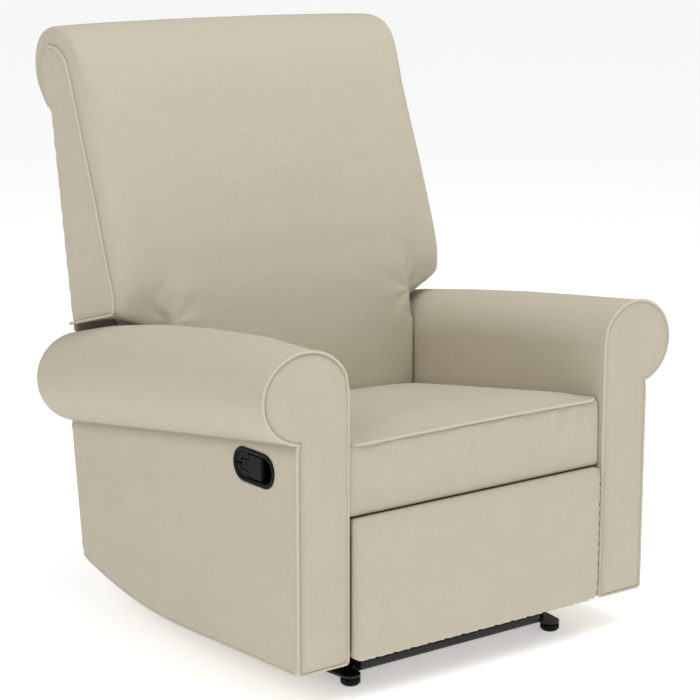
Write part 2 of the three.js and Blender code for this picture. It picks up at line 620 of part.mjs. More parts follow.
// Steel side arms of the seat box, which carry the back pivots.
const plateX = railHalf + TOUCH;
for (const { side, s } of SIDES) {
  const low = (y) => cushionUnder(y) - 38;
  const high = (y) => cushionUnder(y) - 10;
  const shape = new THREE.Shape();
  shape.moveTo(175, low(175));
  shape.lineTo(PIVOT_Y - 40, low(PIVOT_Y - 40));
  shape.lineTo(PIVOT_Y + 8, low(PIVOT_Y - 40) + 26);
  shape.lineTo(PIVOT_Y + 14, PIVOT_Z);
  shape.absarc(PIVOT_Y, PIVOT_Z, 14, 0, Math.PI, false);
  shape.lineTo(PIVOT_Y - 20, high(PIVOT_Y - 60) + 20);
  shape.lineTo(PIVOT_Y - 60, high(PIVOT_Y - 60));
  shape.lineTo(175, high(175));
  shape.closePath();
  const pivot = new THREE.Path();
  pivot.absarc(PIVOT_Y, PIVOT_Z, 5 + RUN, 0, 2 * Math.PI, true);
  shape.holes.push(pivot);
  add(`seat_side_arm_${side}`, sidePlate(shape, s * plateX, s * (plateX + LINK)), blackSteel());
}

// ---- Back: T-shaped cushion, plywood core, outside panel, steel brackets at the pivots --------------
// Outline points are [back of the pivot, above the pivot].
const lean = Math.tan(BACK_LEAN);
const REAR_OFFSET = 43; // rear face behind the pivot, at the pivot's height
const rearAt = (v) => REAR_OFFSET + v * lean;
const BACK_FOOT = -25; // lower edge of the back, from the pivot
const BACK_FRONT = -(PIVOT_Y - SEAT_DEPTH) + 8; // front face at the seat
const EAR_DEPTH = 50; // front of the ears behind the front face
const scrollTop = (y) => rollZ(y) + ROLL_RADIUS / Math.cos(FALL);
const EAR_FRONT = scrollTop(PIVOT_Y + BACK_FRONT + EAR_DEPTH) + EAR_GAP_FRONT - PIVOT_Z;
const EAR_REAR = scrollTop(PIVOT_Y + 75) + EAR_GAP_REAR - PIVOT_Z;
const headV = BACK_RISE - HEAD_ROLL_RADIUS;
const headU = rearAt(headV) - 16;
const place = ([u, v]) => [PIVOT_Y + u, PIVOT_Z + v];

function upperOutline() {
  const shape = new THREE.Shape();
  shape.moveTo(...place([BACK_FRONT + EAR_DEPTH, EAR_FRONT]));
  shape.lineTo(...place([rearAt(EAR_REAR), EAR_REAR]));
  const neck = headV - HEAD_ROLL_RADIUS + 2;
  shape.lineTo(...place([rearAt(neck), neck]));
  shape.absarc(...place([headU, headV]), HEAD_ROLL_RADIUS, -Math.PI / 3, Math.PI / 2, false);
  shape.quadraticCurveTo(...place([headU - 56, BACK_RISE + 1]), ...place([headU - 86, headV - 10]));
  shape.lineTo(...place([BACK_FRONT + 42, EAR_FRONT + 24]));
  shape.closePath();
  return shape;
}

function lowerOutline() {
  const shape = new THREE.Shape();
  shape.moveTo(...place([BACK_FRONT, BACK_FOOT + 8]));
  shape.lineTo(...place([BACK_FRONT + 10, BACK_FOOT]));
  shape.lineTo(...place([rearAt(BACK_FOOT), BACK_FOOT]));
  shape.lineTo(...place([rearAt(EAR_FRONT + 60), EAR_FRONT + 60]));
  shape.lineTo(...place([BACK_FRONT + 60, EAR_FRONT + 60]));
  shape.lineTo(...place([BACK_FRONT + 44, EAR_FRONT + 24]));
  shape.lineTo(...place([BACK_FRONT + 2, EAR_FRONT - 40]));
  shape.closePath();
  return shape;
}

// A T in the plane of the rear face: wide above the arms, narrow between them. Heights are above the pivot.
function tee(wide, narrow, bottom, shoulder, top) {
  return outline([
    [-narrow, bottom],
    [narrow, bottom],
    [narrow, shoulder],
    [wide, shoulder],
    [wide, top],
    [-wide, top],
    [-wide, shoulder],
    [-narrow, shoulder],
  ]);
}

// A slab parallel to the rear face, from depth d0 to depth d1 in front of it.
function slab(shape, d0, d1) {
  const shift = REAR_OFFSET * Math.cos(BACK_LEAN);
  return frontPlate(shape, shift - d1, shift - d0).rotateX(-BACK_LEAN).translate(0, PIVOT_Y, PIVOT_Z);
}

const wide = BACK_WIDTH / 2;
const narrow = INNER - 5;
const PANEL_SKIN = 14; // fabric, card and wadding of the outside back
const skinTop = headV - HEAD_ROLL_RADIUS + 8;
const outside = tee(wide - 2, narrow - 2, BACK_FOOT + 2, EAR_REAR + 6, skinTop);
const core = (gap) =>
  tee(wide - 26 + gap, narrow - 16 + gap, BACK_FOOT + 10 - gap, EAR_FRONT + 12 - gap, headV - 30 + gap);
const bracketPocket = (s) =>
  box(s * (narrow - 15.7), s * INNER, PIVOT_Y - 66, PIVOT_Y + 90, PIVOT_Z - 60, PIVOT_Z + 130);
const backCushion = cut(
  join(sidePlate(upperOutline(), -wide, wide, 8), sidePlate(lowerOutline(), -narrow, narrow)),
  slab(tee(wide + 9, narrow + 9, BACK_FOOT - 20, EAR_REAR - 20, skinTop + TOUCH), -30, PANEL_SKIN + TOUCH),
  slab(core(TOUCH), PANEL_SKIN, PANEL_SKIN + BOARD + 3 * TOUCH),
  bracketPocket(1),
  bracketPocket(-1),
);
add("back_cushion", backCushion, fabric());
const pocketed = (g) => cut(g, bracketPocket(1), bracketPocket(-1));
add("back_core_board", slab(core(0), PANEL_SKIN + 2 * TOUCH, PANEL_SKIN + 2 * TOUCH + BOARD), plywood());
add("outside_back_panel", pocketed(slab(outside, 0.5, PANEL_SKIN)), fabric());
for (const { side, s } of SIDES) {
  const x = narrow - 16 + TOUCH;
  const up = 110;
  const middle = rearAt(up) - PANEL_SKIN - BOARD / 2 - 2;
  const bar = sidePlate(strip([PIVOT_Y, PIVOT_Z], place([middle, up]), 12), s * x, s * (x + LINK));
  const bracket = join(bar, rodX(5, s * (x + 1), s * (plateX + LINK + 1), PIVOT_Y, PIVOT_Z, 12));
  add(`back_bracket_${side}`, bracket, blackSteel());
}

// ---- Rear panel between the arms, below the back ----------------------------------------------------
const rearPanelHalf = INNER - 5;
const backLow = PIVOT_Z + BACK_FOOT;
const rearPanelLow = (ARM_GAP_HEEL + 27 - backLow) / Math.cos(FALL);
const rearPanelHigh = -9.2 / Math.cos(FALL);
const rearPanel = frontPlate(
  outline([
    [-rearPanelHalf, rearPanelLow],
    [rearPanelHalf, rearPanelLow],
    [rearPanelHalf, rearPanelHigh],
    [-rearPanelHalf, rearPanelHigh],
  ]),
  -16,
  -4,
).rotateX(-FALL).translate(0, ARM_DEPTH - 14.8, backLow);
add("rear_panel", rearPanel, fabric());

// ---- Release cable: from the cup, down inside the right arm, through it to the latch ------------------
const cableX = -(OUTER - WALL_OUT - 14);
const crossing = { x: -(boardIn + BOARD + 7.7), y: latchPin[0] + 24, z: latchPin[1] + 16 };
const cableEnd = -(layer(0) - LINK - 6);
const route = new THREE.CatmullRomCurve3([
  new THREE.Vector3(cableX, cupY + CUP_LENGTH / 2 - 4, cupZ),
  new THREE.Vector3(cableX, cupY + CUP_LENGTH / 2 + 14, cupZ - 2),
  new THREE.Vector3(cableX + 2, cupY + 112, cupZ - 50),
  new THREE.Vector3(cableX + 4, crossing.y - 4, crossing.z + 70),
  new THREE.Vector3(cableX + 0.41 * (crossing.x - cableX), crossing.y, crossing.z + 16),
  new THREE.Vector3(crossing.x, crossing.y, crossing.z),
  new THREE.Vector3(-(INNER - 2), crossing.y, crossing.z),
  new THREE.Vector3(cableEnd, crossing.y, crossing.z),
]);
add("release_cable", wire(route, 3, 8, 36), blackPlastic());
const cableHole = rodX(6, -INNER + 10, -(OUTER - WALL_OUT - 8), crossing.y, crossing.z, 12);
for (const name of ["arm_upholstery_right", "arm_side_board_right", "mechanism_plate_right"]) {
  const mesh = chair.getObjectByName(name);
  mesh.geometry = cut(mesh.geometry, cableHole);
}

// ---- Origin: on the floor, under the middle of the bounding box ---------------------------------------
const bounds = new THREE.Box3().setFromObject(chair);
chair.position.set(-(bounds.min.x + bounds.max.x) / 2, -(bounds.min.y + bounds.max.y) / 2, -bounds.min.z);

export default chair;
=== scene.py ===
"""Looks of the rocker recliner armchair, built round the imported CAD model. Metres, in the row frame."""

import json
import math

import bmesh
import bpy
import numpy as np
from mathutils import Matrix, Vector, noise
from mathutils.geometry import delaunay_2d_cdt


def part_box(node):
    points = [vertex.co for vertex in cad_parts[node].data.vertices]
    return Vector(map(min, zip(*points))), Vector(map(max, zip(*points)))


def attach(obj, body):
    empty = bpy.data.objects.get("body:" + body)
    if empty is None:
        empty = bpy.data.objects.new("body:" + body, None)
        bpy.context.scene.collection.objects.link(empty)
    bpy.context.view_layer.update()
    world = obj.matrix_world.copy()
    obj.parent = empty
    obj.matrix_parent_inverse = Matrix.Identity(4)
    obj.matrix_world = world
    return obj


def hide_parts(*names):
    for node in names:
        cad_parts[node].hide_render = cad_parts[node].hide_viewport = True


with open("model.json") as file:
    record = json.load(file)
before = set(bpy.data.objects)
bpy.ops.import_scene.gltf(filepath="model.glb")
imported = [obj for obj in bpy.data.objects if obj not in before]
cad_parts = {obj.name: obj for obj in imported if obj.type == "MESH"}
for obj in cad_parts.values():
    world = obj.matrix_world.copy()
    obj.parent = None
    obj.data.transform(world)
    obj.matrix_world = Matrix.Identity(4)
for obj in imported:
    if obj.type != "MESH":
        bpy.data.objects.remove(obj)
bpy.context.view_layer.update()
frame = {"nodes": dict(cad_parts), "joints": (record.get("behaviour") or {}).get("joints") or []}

# ---- Camera and studio ---------------------------------------------------------------------------

camera = bpy.data.objects.new("camera", bpy.data.cameras.new("camera"))
bpy.context.scene.collection.objects.link(camera)
camera.location = (-2.142, -2.950, 1.270)
camera.rotation_mode = "QUATERNION"
camera.rotation_quaternion = Vector((0.5809, 0.7855, -0.2132)).to_track_quat("-Z", "Y")
camera.data.sensor_width = 36
camera.data.lens = 106.6
camera.data.clip_end = 40
bpy.context.scene.camera = camera
bpy.context.scene.view_settings.view_transform = "Standard"


def area_light(name, place, target, size, power):
    data = bpy.data.lights.new(name, "AREA")
    data.shape = "RECTANGLE"
    data.size, data.size_y = size
    data.energy = power
    light = bpy.data.objects.new(name, data)
    bpy.context.scene.collection.objects.link(light)
    light.location = place
    light.rotation_mode = "QUATERNION"
    light.rotation_quaternion = (Vector(target) - Vector(place)).to_track_quat("-Z", "Y")


area_light("key", (0.7, -3.3, 0.8), (0, 0, 0.4), (2.0, 1.2), 4)
area_light("side", (-3.7, -1.9, 3.3), (0.2, 0, 0.5), (1.8, 1.8), 42)
area_light("overhead", (0.4, -1.0, 3.7), (0, 0, 0.4), (2.6, 2.6), 55)

world = bpy.data.worlds.new("studio")
bpy.context.scene.world = world
world.use_nodes = True
world.node_tree.nodes["Background"].inputs["Color"].default_value = (1, 1, 1, 1)
world.node_tree.nodes["Background"].inputs["Strength"].default_value = 0.53


# ---- Materials -----------------------------------------------------------------------------------


def add_node(tree, kind, inputs=None, **settings):
    n = tree.nodes.new(kind)
    for key, value in settings.items():
        setattr(n, key, value)
    for key, value in (inputs or {}).items():
        if isinstance(value, bpy.types.NodeSocket):
            tree.links.new(value, n.inputs[key])
        else:
            n.inputs[key].default_value = value
    return n


def new_material(name):
    mat = bpy.data.materials.new(name)
    mat.use_nodes = True
    return mat, mat.node_tree, mat.node_tree.nodes["Principled BSDF"]


def math_node(tree, operation, a, b=0.0, clamp=False):
    return add_node(tree, "ShaderNodeMath", {0: a, 1: b}, operation=operation, use_clamp=clamp).outputs[0]


def object_coords(tree, scale):
    coords = add_node(tree, "ShaderNodeTexCoord").outputs["Object"]
    return add_node(tree, "ShaderNodeMapping", {"Vector": coords, "Scale": scale}).outputs["Vector"]


def noise_at(tree, scale, detail=2.0, roughness=0.5):
    """Noise whose grain is 1 / scale metres along each axis."""
    inputs = {"Vector": object_coords(tree, scale), "Scale": 1.0, "Detail": detail, "Roughness": roughness}
    return add_node(tree, "ShaderNodeTexNoise", inputs).outputs["Fac"]


def mix_color(tree, factor, a, b, blend="MIX"):
    n = add_node(tree, "ShaderNodeMix", data_type="RGBA", blend_type=blend)
    for socket, value in ((n.inputs[0], factor), (n.inputs[6], a), (n.inputs[7], b)):
        if isinstance(value, bpy.types.NodeSocket):
            tree.links.new(value, socket)
        else:
            socket.default_value = value
    return n.outputs[2]


def spread(tree, value, low, high):
    """value from 0..1 mapped to low..high."""
    return add_node(tree, "ShaderNodeMapRange", {"Value": value, "To Min": low, "To Max": high}).outputs[0]


def woven(name, color, thread, slub, bump_depth):
    """Plain weave with uneven threads: slubs run along each axis, and the tone drifts over the piece."""
    mat, tree, shader = new_material(name)
    drift = noise_at(tree, (55, 55, 55), 3.0)
    coords = add_node(tree, "ShaderNodeTexCoord").outputs["Object"]
    bent = add_node(tree, "ShaderNodeVectorMath", {0: coords}, operation="ADD")
    wobble = add_node(tree, "ShaderNodeTexNoise", {"Vector": object_coords(tree, (1, 1, 1)), "Scale": 90.0})
    shift = {0: wobble.outputs["Color"], "Scale": 0.0009}
    small = add_node(tree, "ShaderNodeVectorMath", shift, operation="SCALE")
    tree.links.new(small.outputs[0], bent.inputs[1])
    parts = add_node(tree, "ShaderNodeSeparateXYZ", {0: bent.outputs[0]})
    waves = []
    for axis in range(3):
        turned = math_node(tree, "MULTIPLY", parts.outputs[axis], 2 * math.pi / thread)
        waves.append(math_node(tree, "SINE", turned))
    weave = math_node(tree, "ADD", math_node(tree, "ADD", waves[0], waves[1]), waves[2])
    weave = spread(tree, math_node(tree, "MULTIPLY", weave, 0.333), 0.5, 1.0)
    flat = noise_at(tree, (14, 14, 620), 2.0, 0.6)
    upright = noise_at(tree, (620, 14, 10), 2.0, 0.6)
    lengthways = noise_at(tree, (16, 620, 16), 2.0, 0.6)
    threads = math_node(tree, "ADD", math_node(tree, "ADD", flat, upright), lengthways)
    threads = math_node(tree, "MULTIPLY", threads, 0.3333)
    light = tuple(min(1.0, c * (1 + slub)) for c in color) + (1,)
    dark = tuple(c * (1 - slub) for c in color) + (1,)
    contrast = add_node(tree, "ShaderNodeMapRange", {"Value": threads, "From Min": 0.35, "From Max": 0.65})
    tone = mix_color(tree, contrast.outputs[0], dark, light)
    warm = tuple(c * k for c, k in zip(color, (1.03, 1.0, 0.965))) + (1,)
    cool = tuple(c * k for c, k in zip(color, (0.975, 0.995, 1.0))) + (1,)
    patch = mix_color(tree, noise_at(tree, (7, 7, 7), 2.0), warm, cool)
    tone = mix_color(tree, 0.45, tone, patch)
    seam = add_node(tree, "ShaderNodeAttribute", attribute_name="seam").outputs["Fac"]
    # painted shade: the cloth is darkened towards each seam, in place of the shade that falls in the seam's
    # crease
    seam_shade = math_node(tree, "MULTIPLY", seam, spread(tree, drift, 0.18, 0.40))
    tone = mix_color(tree, seam_shade, tone, tuple(c * 0.62 for c in color) + (1,))
    # painted highlight: the weave's raised points, the bump's crests, are screened a little lighter
    crest_highlight = add_node(tree, "ShaderNodeMapRange", {"Value": weave, "From Min": 0.55, "From Max": 0.8})
    tone = mix_color(tree, math_node(tree, "MULTIPLY", crest_highlight.outputs[0], 0.06), tone, (1, 1, 1, 1), "SCREEN")
    tree.links.new(tone, shader.inputs["Base Color"])
    rough = spread(tree, drift, 0.86, 0.98)
    tree.links.new(rough, shader.inputs["Roughness"])
    shader.inputs["Specular IOR Level"].default_value = 0.18
    shader.inputs["Sheen Weight"].default_value = 0.12
    shader.inputs["Sheen Roughness"].default_value = 0.45
    pucker = math_node(tree, "MULTIPLY", noise_at(tree, (95, 95, 95), 2.0), seam)
    height = math_node(tree, "ADD", weave, math_node(tree, "MULTIPLY", threads, 1.4))
    height = math_node(tree, "ADD", height, math_node(tree, "MULTIPLY", pucker, 2.0))
    bump = add_node(tree, "ShaderNodeBump", {"Height": height, "Distance": bump_depth, "Strength": 0.8})
    tree.links.new(bump.outputs[0], shader.inputs["Normal"])
    return mat


def plastic(name, color, roughness):
    mat, tree, shader = new_material(name)
    grain = noise_at(tree, (900, 900, 900), 3.0, 0.6)
    drift = noise_at(tree, (30, 30, 30), 2.0)
    tone = mix_color(tree, drift, tuple(c * 0.8 for c in color) + (1,), tuple(c * 1.35 for c in color) + (1,))
    tree.links.new(tone, shader.inputs["Base Color"])
    tree.links.new(spread(tree, grain, roughness - 0.07, roughness + 0.1), shader.inputs["Roughness"])
    bump = add_node(tree, "ShaderNodeBump", {"Height": grain, "Distance": 0.00025, "Strength": 0.5})
    tree.links.new(bump.outputs[0], shader.inputs["Normal"])
    shader.inputs["Specular IOR Level"].default_value = 0.14
    return mat


def painted_steel(name, color, roughness, metallic):
    mat, tree, shader = new_material(name)
    peel = noise_at(tree, (420, 420, 420), 2.0)
    wear = add_node(tree, "ShaderNodeMapRange", {"Value": noise_at(tree, (60, 60, 60), 5.0, 0.7),
                                                 "From Min": 0.6, "From Max": 0.78})
    tone = mix_color(tree, wear.outputs[0], tuple(color) + (1,), tuple(3.0 * c + 0.01 for c in color) + (1,))
    tree.links.new(tone, shader.inputs["Base Color"])
    tree.links.new(spread(tree, wear.outputs[0], roughness, roughness + 0.25), shader.inputs["Roughness"])
    shader.inputs["Metallic"].default_value = metallic
    bump = add_node(tree, "ShaderNodeBump", {"Height": peel, "Distance": 0.0002, "Strength": 0.6})
    tree.links.new(bump.outputs[0], shader.inputs["Normal"])
    return mat


def timber(name):
    mat, tree, shader = new_material(name)
    grain = noise_at(tree, (6, 60, 220), 4.0, 0.65)
    ply = add_node(tree, "ShaderNodeTexWave", {"Vector": object_coords(tree, (380, 8, 8)), "Scale": 1.0,
                                               "Distortion": 1.5, "Detail": 2.0})
    tone = mix_color(tree, grain, (0.36, 0.22, 0.11, 1), (0.62, 0.45, 0.27, 1))
    tone = mix_color(tree, math_node(tree, "MULTIPLY", ply.outputs["Fac"], 0.25), tone, (0.25, 0.15, 0.08, 1))
    tree.links.new(tone, shader.inputs["Base Color"])
    tree.links.new(spread(tree, grain, 0.6, 0.85), shader.inputs["Roughness"])
    bump = add_node(tree, "ShaderNodeBump", {"Height": grain, "Distance": 0.0004, "Strength": 0.5})
    tree.links.new(bump.outputs[0], shader.inputs["Normal"])
    return mat


LINEN = (0.522, 0.476, 0.377)
linen = woven("linen", LINEN, 0.0011, 0.075, 0.00045)
# painted highlight: the welts are the same linen made 12% lighter, for the light on their raised cords
piping = woven("piping", tuple(c * 1.12 for c in LINEN), 0.0009, 0.03, 0.0003)
handle_plastic = plastic("handle_plastic", (0.0030, 0.0068, 0.0038), 0.55)
foot_plastic = plastic("foot_plastic", (0.0045, 0.0045, 0.0042), 0.5)
CAD_FINISH = {
    "fabric": linen,
    "wood": timber("timber"),
    "black_steel": painted_steel("black_steel", (0.0045, 0.0045, 0.0043), 0.45, 0.0),
    "spring_steel": painted_steel("spring_steel", (0.32, 0.32, 0.31), 0.35, 0.9),
    "black_plastic": foot_plastic,
    "cable_sleeve": plastic("cable_sleeve", (0.008, 0.008, 0.009), 0.55),
}
for cad_node in frame["nodes"].values():
    for i, old in enumerate(cad_node.data.materials):
        cad_node.data.materials[i] = CAD_FINISH[old.name.split(".")[0]]

# ---- Mesh helpers --------------------------------------------------------------------------------


def mesh_piece(name, verts, faces, material, smooth=True):
    """A mesh object whose faces point outwards."""
    data = bpy.data.meshes.new(name)
    data.from_pydata([tuple(v) for v in verts], [], faces)
    bm = bmesh.new()
    bm.from_mesh(data)
    bmesh.ops.remove_doubles(bm, verts=bm.verts, dist=1e-6)
    bmesh.ops.recalc_face_normals(bm, faces=bm.faces)
    bm.to_mesh(data)
    bm.free()
    data.polygons.foreach_set("use_smooth", [smooth] * len(data.polygons))
    data.materials.append(material)
    obj = bpy.data.objects.new(name, data)
    bpy.context.scene.collection.objects.link(obj)
    return obj


def vertex_array(obj):
    co = np.empty(len(obj.data.vertices) * 3)
    obj.data.vertices.foreach_get("co", co)
    return co.reshape(-1, 3)


def set_vertices(obj, co):
    obj.data.vertices.foreach_set("co", np.ascontiguousarray(co, dtype=np.float32).ravel())
    obj.data.update()


def resample(points, step, closed=False):
    """The polyline with points about step apart."""
    p = np.asarray(points, float)
    if closed:
        p = np.vstack([p, p[:1]])
    run = np.concatenate([[0], np.cumsum(np.linalg.norm(np.diff(p, axis=0), axis=1))])
    count = max(2, int(round(run[-1] / step)) + 1)
    t = np.linspace(0, run[-1], count)
    out = np.stack([np.interp(t, run, p[:, k]) for k in range(p.shape[1])], axis=1)
    return out[:-1] if closed else out


def smooth_path(points, rounds):
    """Corner-cut version of a polyline, ends kept."""
    p = np.asarray(points, float)
    for _ in range(rounds):
        a, b = p[:-1], p[1:]
        mid = np.stack([0.75 * a + 0.25 * b, 0.25 * a + 0.75 * b], axis=1).reshape(-1, p.shape[1])
        p = np.vstack([p[:1], mid[1:-1], p[-1:]])
    return p


def cord_mesh(name, points, radius, material, closed=False, sides=8, step=0.006):
    """A round welt along a path."""
    p = resample(points, step, closed)
    n = len(p)
    ahead = np.roll(p, -1, axis=0) - np.roll(p, 1, axis=0)
    if not closed:
        ahead[0], ahead[-1] = p[1] - p[0], p[-1] - p[-2]
    ahead /= np.linalg.norm(ahead, axis=1)[:, None]
    up = np.array([0.0, 0.0, 1.0]) if abs(ahead[0][2]) < 0.9 else np.array([1.0, 0.0, 0.0])
    verts, faces = [], []
    for i in range(n):
        up = up - ahead[i] * (up @ ahead[i])
        up /= np.linalg.norm(up)
        side = np.cross(ahead[i], up)
        for k in range(sides):
            a = 2 * math.pi * k / sides
            verts.append(p[i] + radius * (math.cos(a) * up + math.sin(a) * side))
    for i in range(n if closed else n - 1):
        j = (i + 1) % n
        shift = 0
        if closed and j == 0:  # the frame may have turned on its way round
            first = np.array(verts[0]) - p[0]
            last = [np.array(verts[i * sides + k]) - p[i] for k in range(sides)]
            shift = int(np.argmax([v @ first for v in last]))
        for k in range(sides):
            a, b = i * sides + (k + shift) % sides, i * sides + (k + 1 + shift) % sides
            faces.append((a, b, j * sides + (k + 1) % sides, j * sides + k))
    if not closed:
        for end, centre in ((0, p[0] - radius * 0.5 * ahead[0]), (n - 1, p[-1] + radius * 0.5 * ahead[-1])):
            verts.append(centre)
            faces += [(end * sides + k, end * sides + (k + 1) % sides, len(verts) - 1) for k in range(sides)]
    return mesh_piece(name, verts, faces, material)


def seam_distance(points, paths):
    """Distance from each point to the nearest of the paths' points, in any number of dimensions."""
    best = np.full(len(points), 1e9)
    for path in paths:
        fine = resample(path, 0.003)
        for start in range(0, len(points), 4000):
            block = points[start:start + 4000]
            d = np.linalg.norm(block[:, None, :] - fine[None, :, :], axis=2).min(axis=1)
            best[start:start + 4000] = np.minimum(best[start:start + 4000], d)
    return best


def mark_seams(obj, paths, reach=0.012):
    """Stores how close each vertex is to a seam, for the fabric's painted seam shade and puckers."""
    d = seam_distance(vertex_array(obj), [np.asarray(p, float) for p in paths])
    layer = obj.data.attributes.new("seam", "FLOAT", "POINT")
    layer.data.foreach_set("value", np.clip(1 - d / reach, 0, 1).astype(np.float32))


def filled(outline, spacing):
    """Points and triangles that fill a closed 2-D outline, and each point's distance to it.

    The outline's own points come first, then a grid inside."""
    ring = np.asarray(outline, float)
    n = len(ring)
    low, high = ring.min(0), ring.max(0)
    us = np.arange(low[0] + spacing / 2, high[0], spacing)
    vs = np.arange(low[1] + spacing / 2, high[1], spacing * 0.866)
    grid = [(u + (spacing / 2 if j % 2 else 0), v) for j, v in enumerate(vs) for u in us]
    grid = np.array(grid, float).reshape(-1, 2)
    a, b = ring, np.roll(ring, -1, axis=0)
    inside = np.zeros(len(grid), bool)
    for p, q in zip(a, b):
        crosses = (p[1] > grid[:, 1]) != (q[1] > grid[:, 1])
        if crosses.any():
            x = p[0] + (grid[:, 1] - p[1]) / (q[1] - p[1] + 1e-15) * (q[0] - p[0])
            inside ^= crosses & (grid[:, 0] < x)
    grid = grid[inside]
    grid = grid[seam_distance(grid, [np.vstack([ring, ring[:1]])]) > spacing * 0.45]
    points = [Vector(p) for p in np.vstack([ring, grid])]
    made = delaunay_2d_cdt(points, [], [list(range(n))], 1, 1e-9)
    flat = np.array([tuple(v) for v in made[0]])
    return flat, [tuple(f) for f in made[2]], seam_distance(flat, [np.vstack([ring, ring[:1]])])


def domed(distance, edge, crown, reach):
    """Height of a padded face: a rounded edge of radius edge, then a crown that fades in over reach."""
    d = np.clip(distance, 0, edge)
    height = edge - np.sqrt(np.maximum(edge * edge - (edge - d) ** 2, 0))
    return edge - height + crown * (1 - np.exp(-np.clip(distance, 0, None) / reach))


def ring_faces(count, n):
    """Quads that join count rings of n points, one ring to the next."""
    return [(i * n + k, i * n + (k + 1) % n, (i + 1) * n + (k + 1) % n, (i + 1) * n + k)
            for i in range(count - 1) for k in range(n)]


def padded_plate(name, outline, thickness, edge, crown, reach, material, spacing=0.012):
    """A padded board in the local XZ plane: its face points to -Y and its flat back lies at y = 0."""
    ring = resample(outline, spacing * 0.6, closed=True)
    flat, tris, distance = filled(ring, spacing)
    n = len(ring)
    face_y = -(thickness - edge) - domed(distance, edge, crown, reach)
    verts = [(u, y, v) for (u, v), y in zip(flat, face_y)]
    faces = list(tris)
    back = len(verts)
    verts += [(u, 0.0, v) for u, v in flat]
    faces += [tuple(back + i for i in reversed(t)) for t in tris]
    faces += [(i, (i + 1) % n, back + (i + 1) % n, back + i) for i in range(n)]
    return mesh_piece(name, verts, faces, material)


def remeshed(obj, voxel):
    modifier = obj.modifiers.new("remesh", "REMESH")
    modifier.mode = "VOXEL"
    modifier.voxel_size = voxel
    modifier.use_smooth_shade = True
    bake(obj)


def bake(obj):
    """Applies the object's modifiers to its mesh."""
    graph = bpy.context.evaluated_depsgraph_get()
    graph.update()
    made = bpy.data.meshes.new_from_object(obj.evaluated_get(graph), depsgraph=graph)
    obj.modifiers.clear()
    old = obj.data
    obj.data = made
    bpy.data.meshes.remove(old)


def relaxed(obj, rounds, keep=None):
    """Laplacian smoothing, half way each round; keep is 0..1 per vertex, how firmly it stays."""
    co = vertex_array(obj)
    edges = np.empty(len(obj.data.edges) * 2, np.int64)
    obj.data.edges.foreach_get("vertices", edges)
    a, b = edges[0::2], edges[1::2]
    count = np.bincount(edges, minlength=len(co)).astype(float)[:, None]
    hold = 1.0 if keep is None else (1 - keep)[:, None]
    for _ in range(rounds):
        total = np.zeros_like(co)
        np.add.at(total, a, co[b])
        np.add.at(total, b, co[a])
        co += 0.5 * hold * (total / np.maximum(count, 1) - co)
    set_vertices(obj, co)


CLOTH_TENSION = 15.0


def inflated(obj, pinned, pressure, cap, frames=20):
    """Pressure cloth on a closed pad with gravity off.

    Vertices with pinned = 1 are held; none moves further than cap."""
    start = vertex_array(obj)
    group = obj.vertex_groups.new(name="pin")
    for weight in (0.25, 0.5, 0.75, 1.0):
        members = np.nonzero((pinned > weight - 0.25) & (pinned <= weight))[0]
        if len(members):
            group.add([int(i) for i in members], weight, "REPLACE")
    cloth = obj.modifiers.new("cloth", "CLOTH")
    cloth.settings.quality = 5
    cloth.settings.mass = 0.3
    cloth.settings.tension_stiffness = CLOTH_TENSION
    cloth.settings.compression_stiffness = CLOTH_TENSION
    cloth.settings.shear_stiffness = 5
    cloth.settings.bending_stiffness = 0.5
    cloth.settings.use_pressure = True
    cloth.settings.uniform_pressure_force = pressure
    cloth.settings.vertex_group_mass = "pin"
    cloth.settings.effector_weights.gravity = 0
    cloth.collision_settings.use_collision = False
    cloth.point_cache.frame_start = 1
    cloth.point_cache.frame_end = frames
    for f in range(1, frames + 1):
        bpy.context.scene.frame_set(f)
    bake(obj)
    bpy.context.scene.frame_set(1)
    obj.vertex_groups.clear()
    moved = vertex_array(obj) - start
    length = np.linalg.norm(moved, axis=1)
    limit = np.where(length > 1e-9, cap * np.tanh(length / cap) / np.maximum(length, 1e-9), 1.0)
    set_vertices(obj, start + moved * limit[:, None])


def subdivided(obj):
    modifier = obj.modifiers.new("subdivision", "SUBSURF")
    modifier.levels = modifier.render_levels = 1
    bake(obj)


def placed(obj, matrix):
    obj.data.transform(matrix)
    return obj


def face_outwards(obj):
    """Mends the faces' direction after a mirroring."""
    bm = bmesh.new()
    bm.from_mesh(obj.data)
    bmesh.ops.recalc_face_normals(bm, faces=bm.faces)
    bm.to_mesh(obj.data)
    bm.free()


# ---- Sizes shared by the pieces ------------------------------------------------------------------

ARM_LOW, ARM_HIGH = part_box("arm_upholstery_left")
FRONT = ARM_LOW.y  # front faces of the arms
INNER = ARM_LOW.x  # arm's inner face
OUTER = INNER + 0.101  # arm's outer face
ROLL_R = 0.082
ROLL_X = INNER + ROLL_R
ROLL_Z = 0.519  # scroll's centre at the front
ARM_DEPTH = 0.737
FALL = math.radians(8.3)
SLOPE = math.tan(FALL)
GAP_FRONT, GAP_BELLY, GAP_HEEL = 0.067, 0.051, 0.086  # floor to the arm's lower edge
HEEL_RISE = 0.026
WELT = 0.0027
pivot = Vector(next(j["pos_m"] for j in frame["joints"] if j["name"] == "recline"))


# Padding of each scroll: how much higher its top stands than the CAD scroll, at shares of the arm's depth,
# and its half-width at the front. The handle's arm is the fuller one.
SHARES = (0.0, 0.2, 0.4, 0.6, 0.8, 0.92, 1.0)
PUFF = {"right": (-0.010, 0.011, 0.020, 0.023, 0.018, 0.009, 0.002),
        "left": (-0.010, -0.003, 0.003, 0.006, 0.006, 0.002, 0.0)}
SPREAD = {"right": 0.0822, "left": 0.077}
LIFT = 0.0065  # the scroll's underside above the CAD's


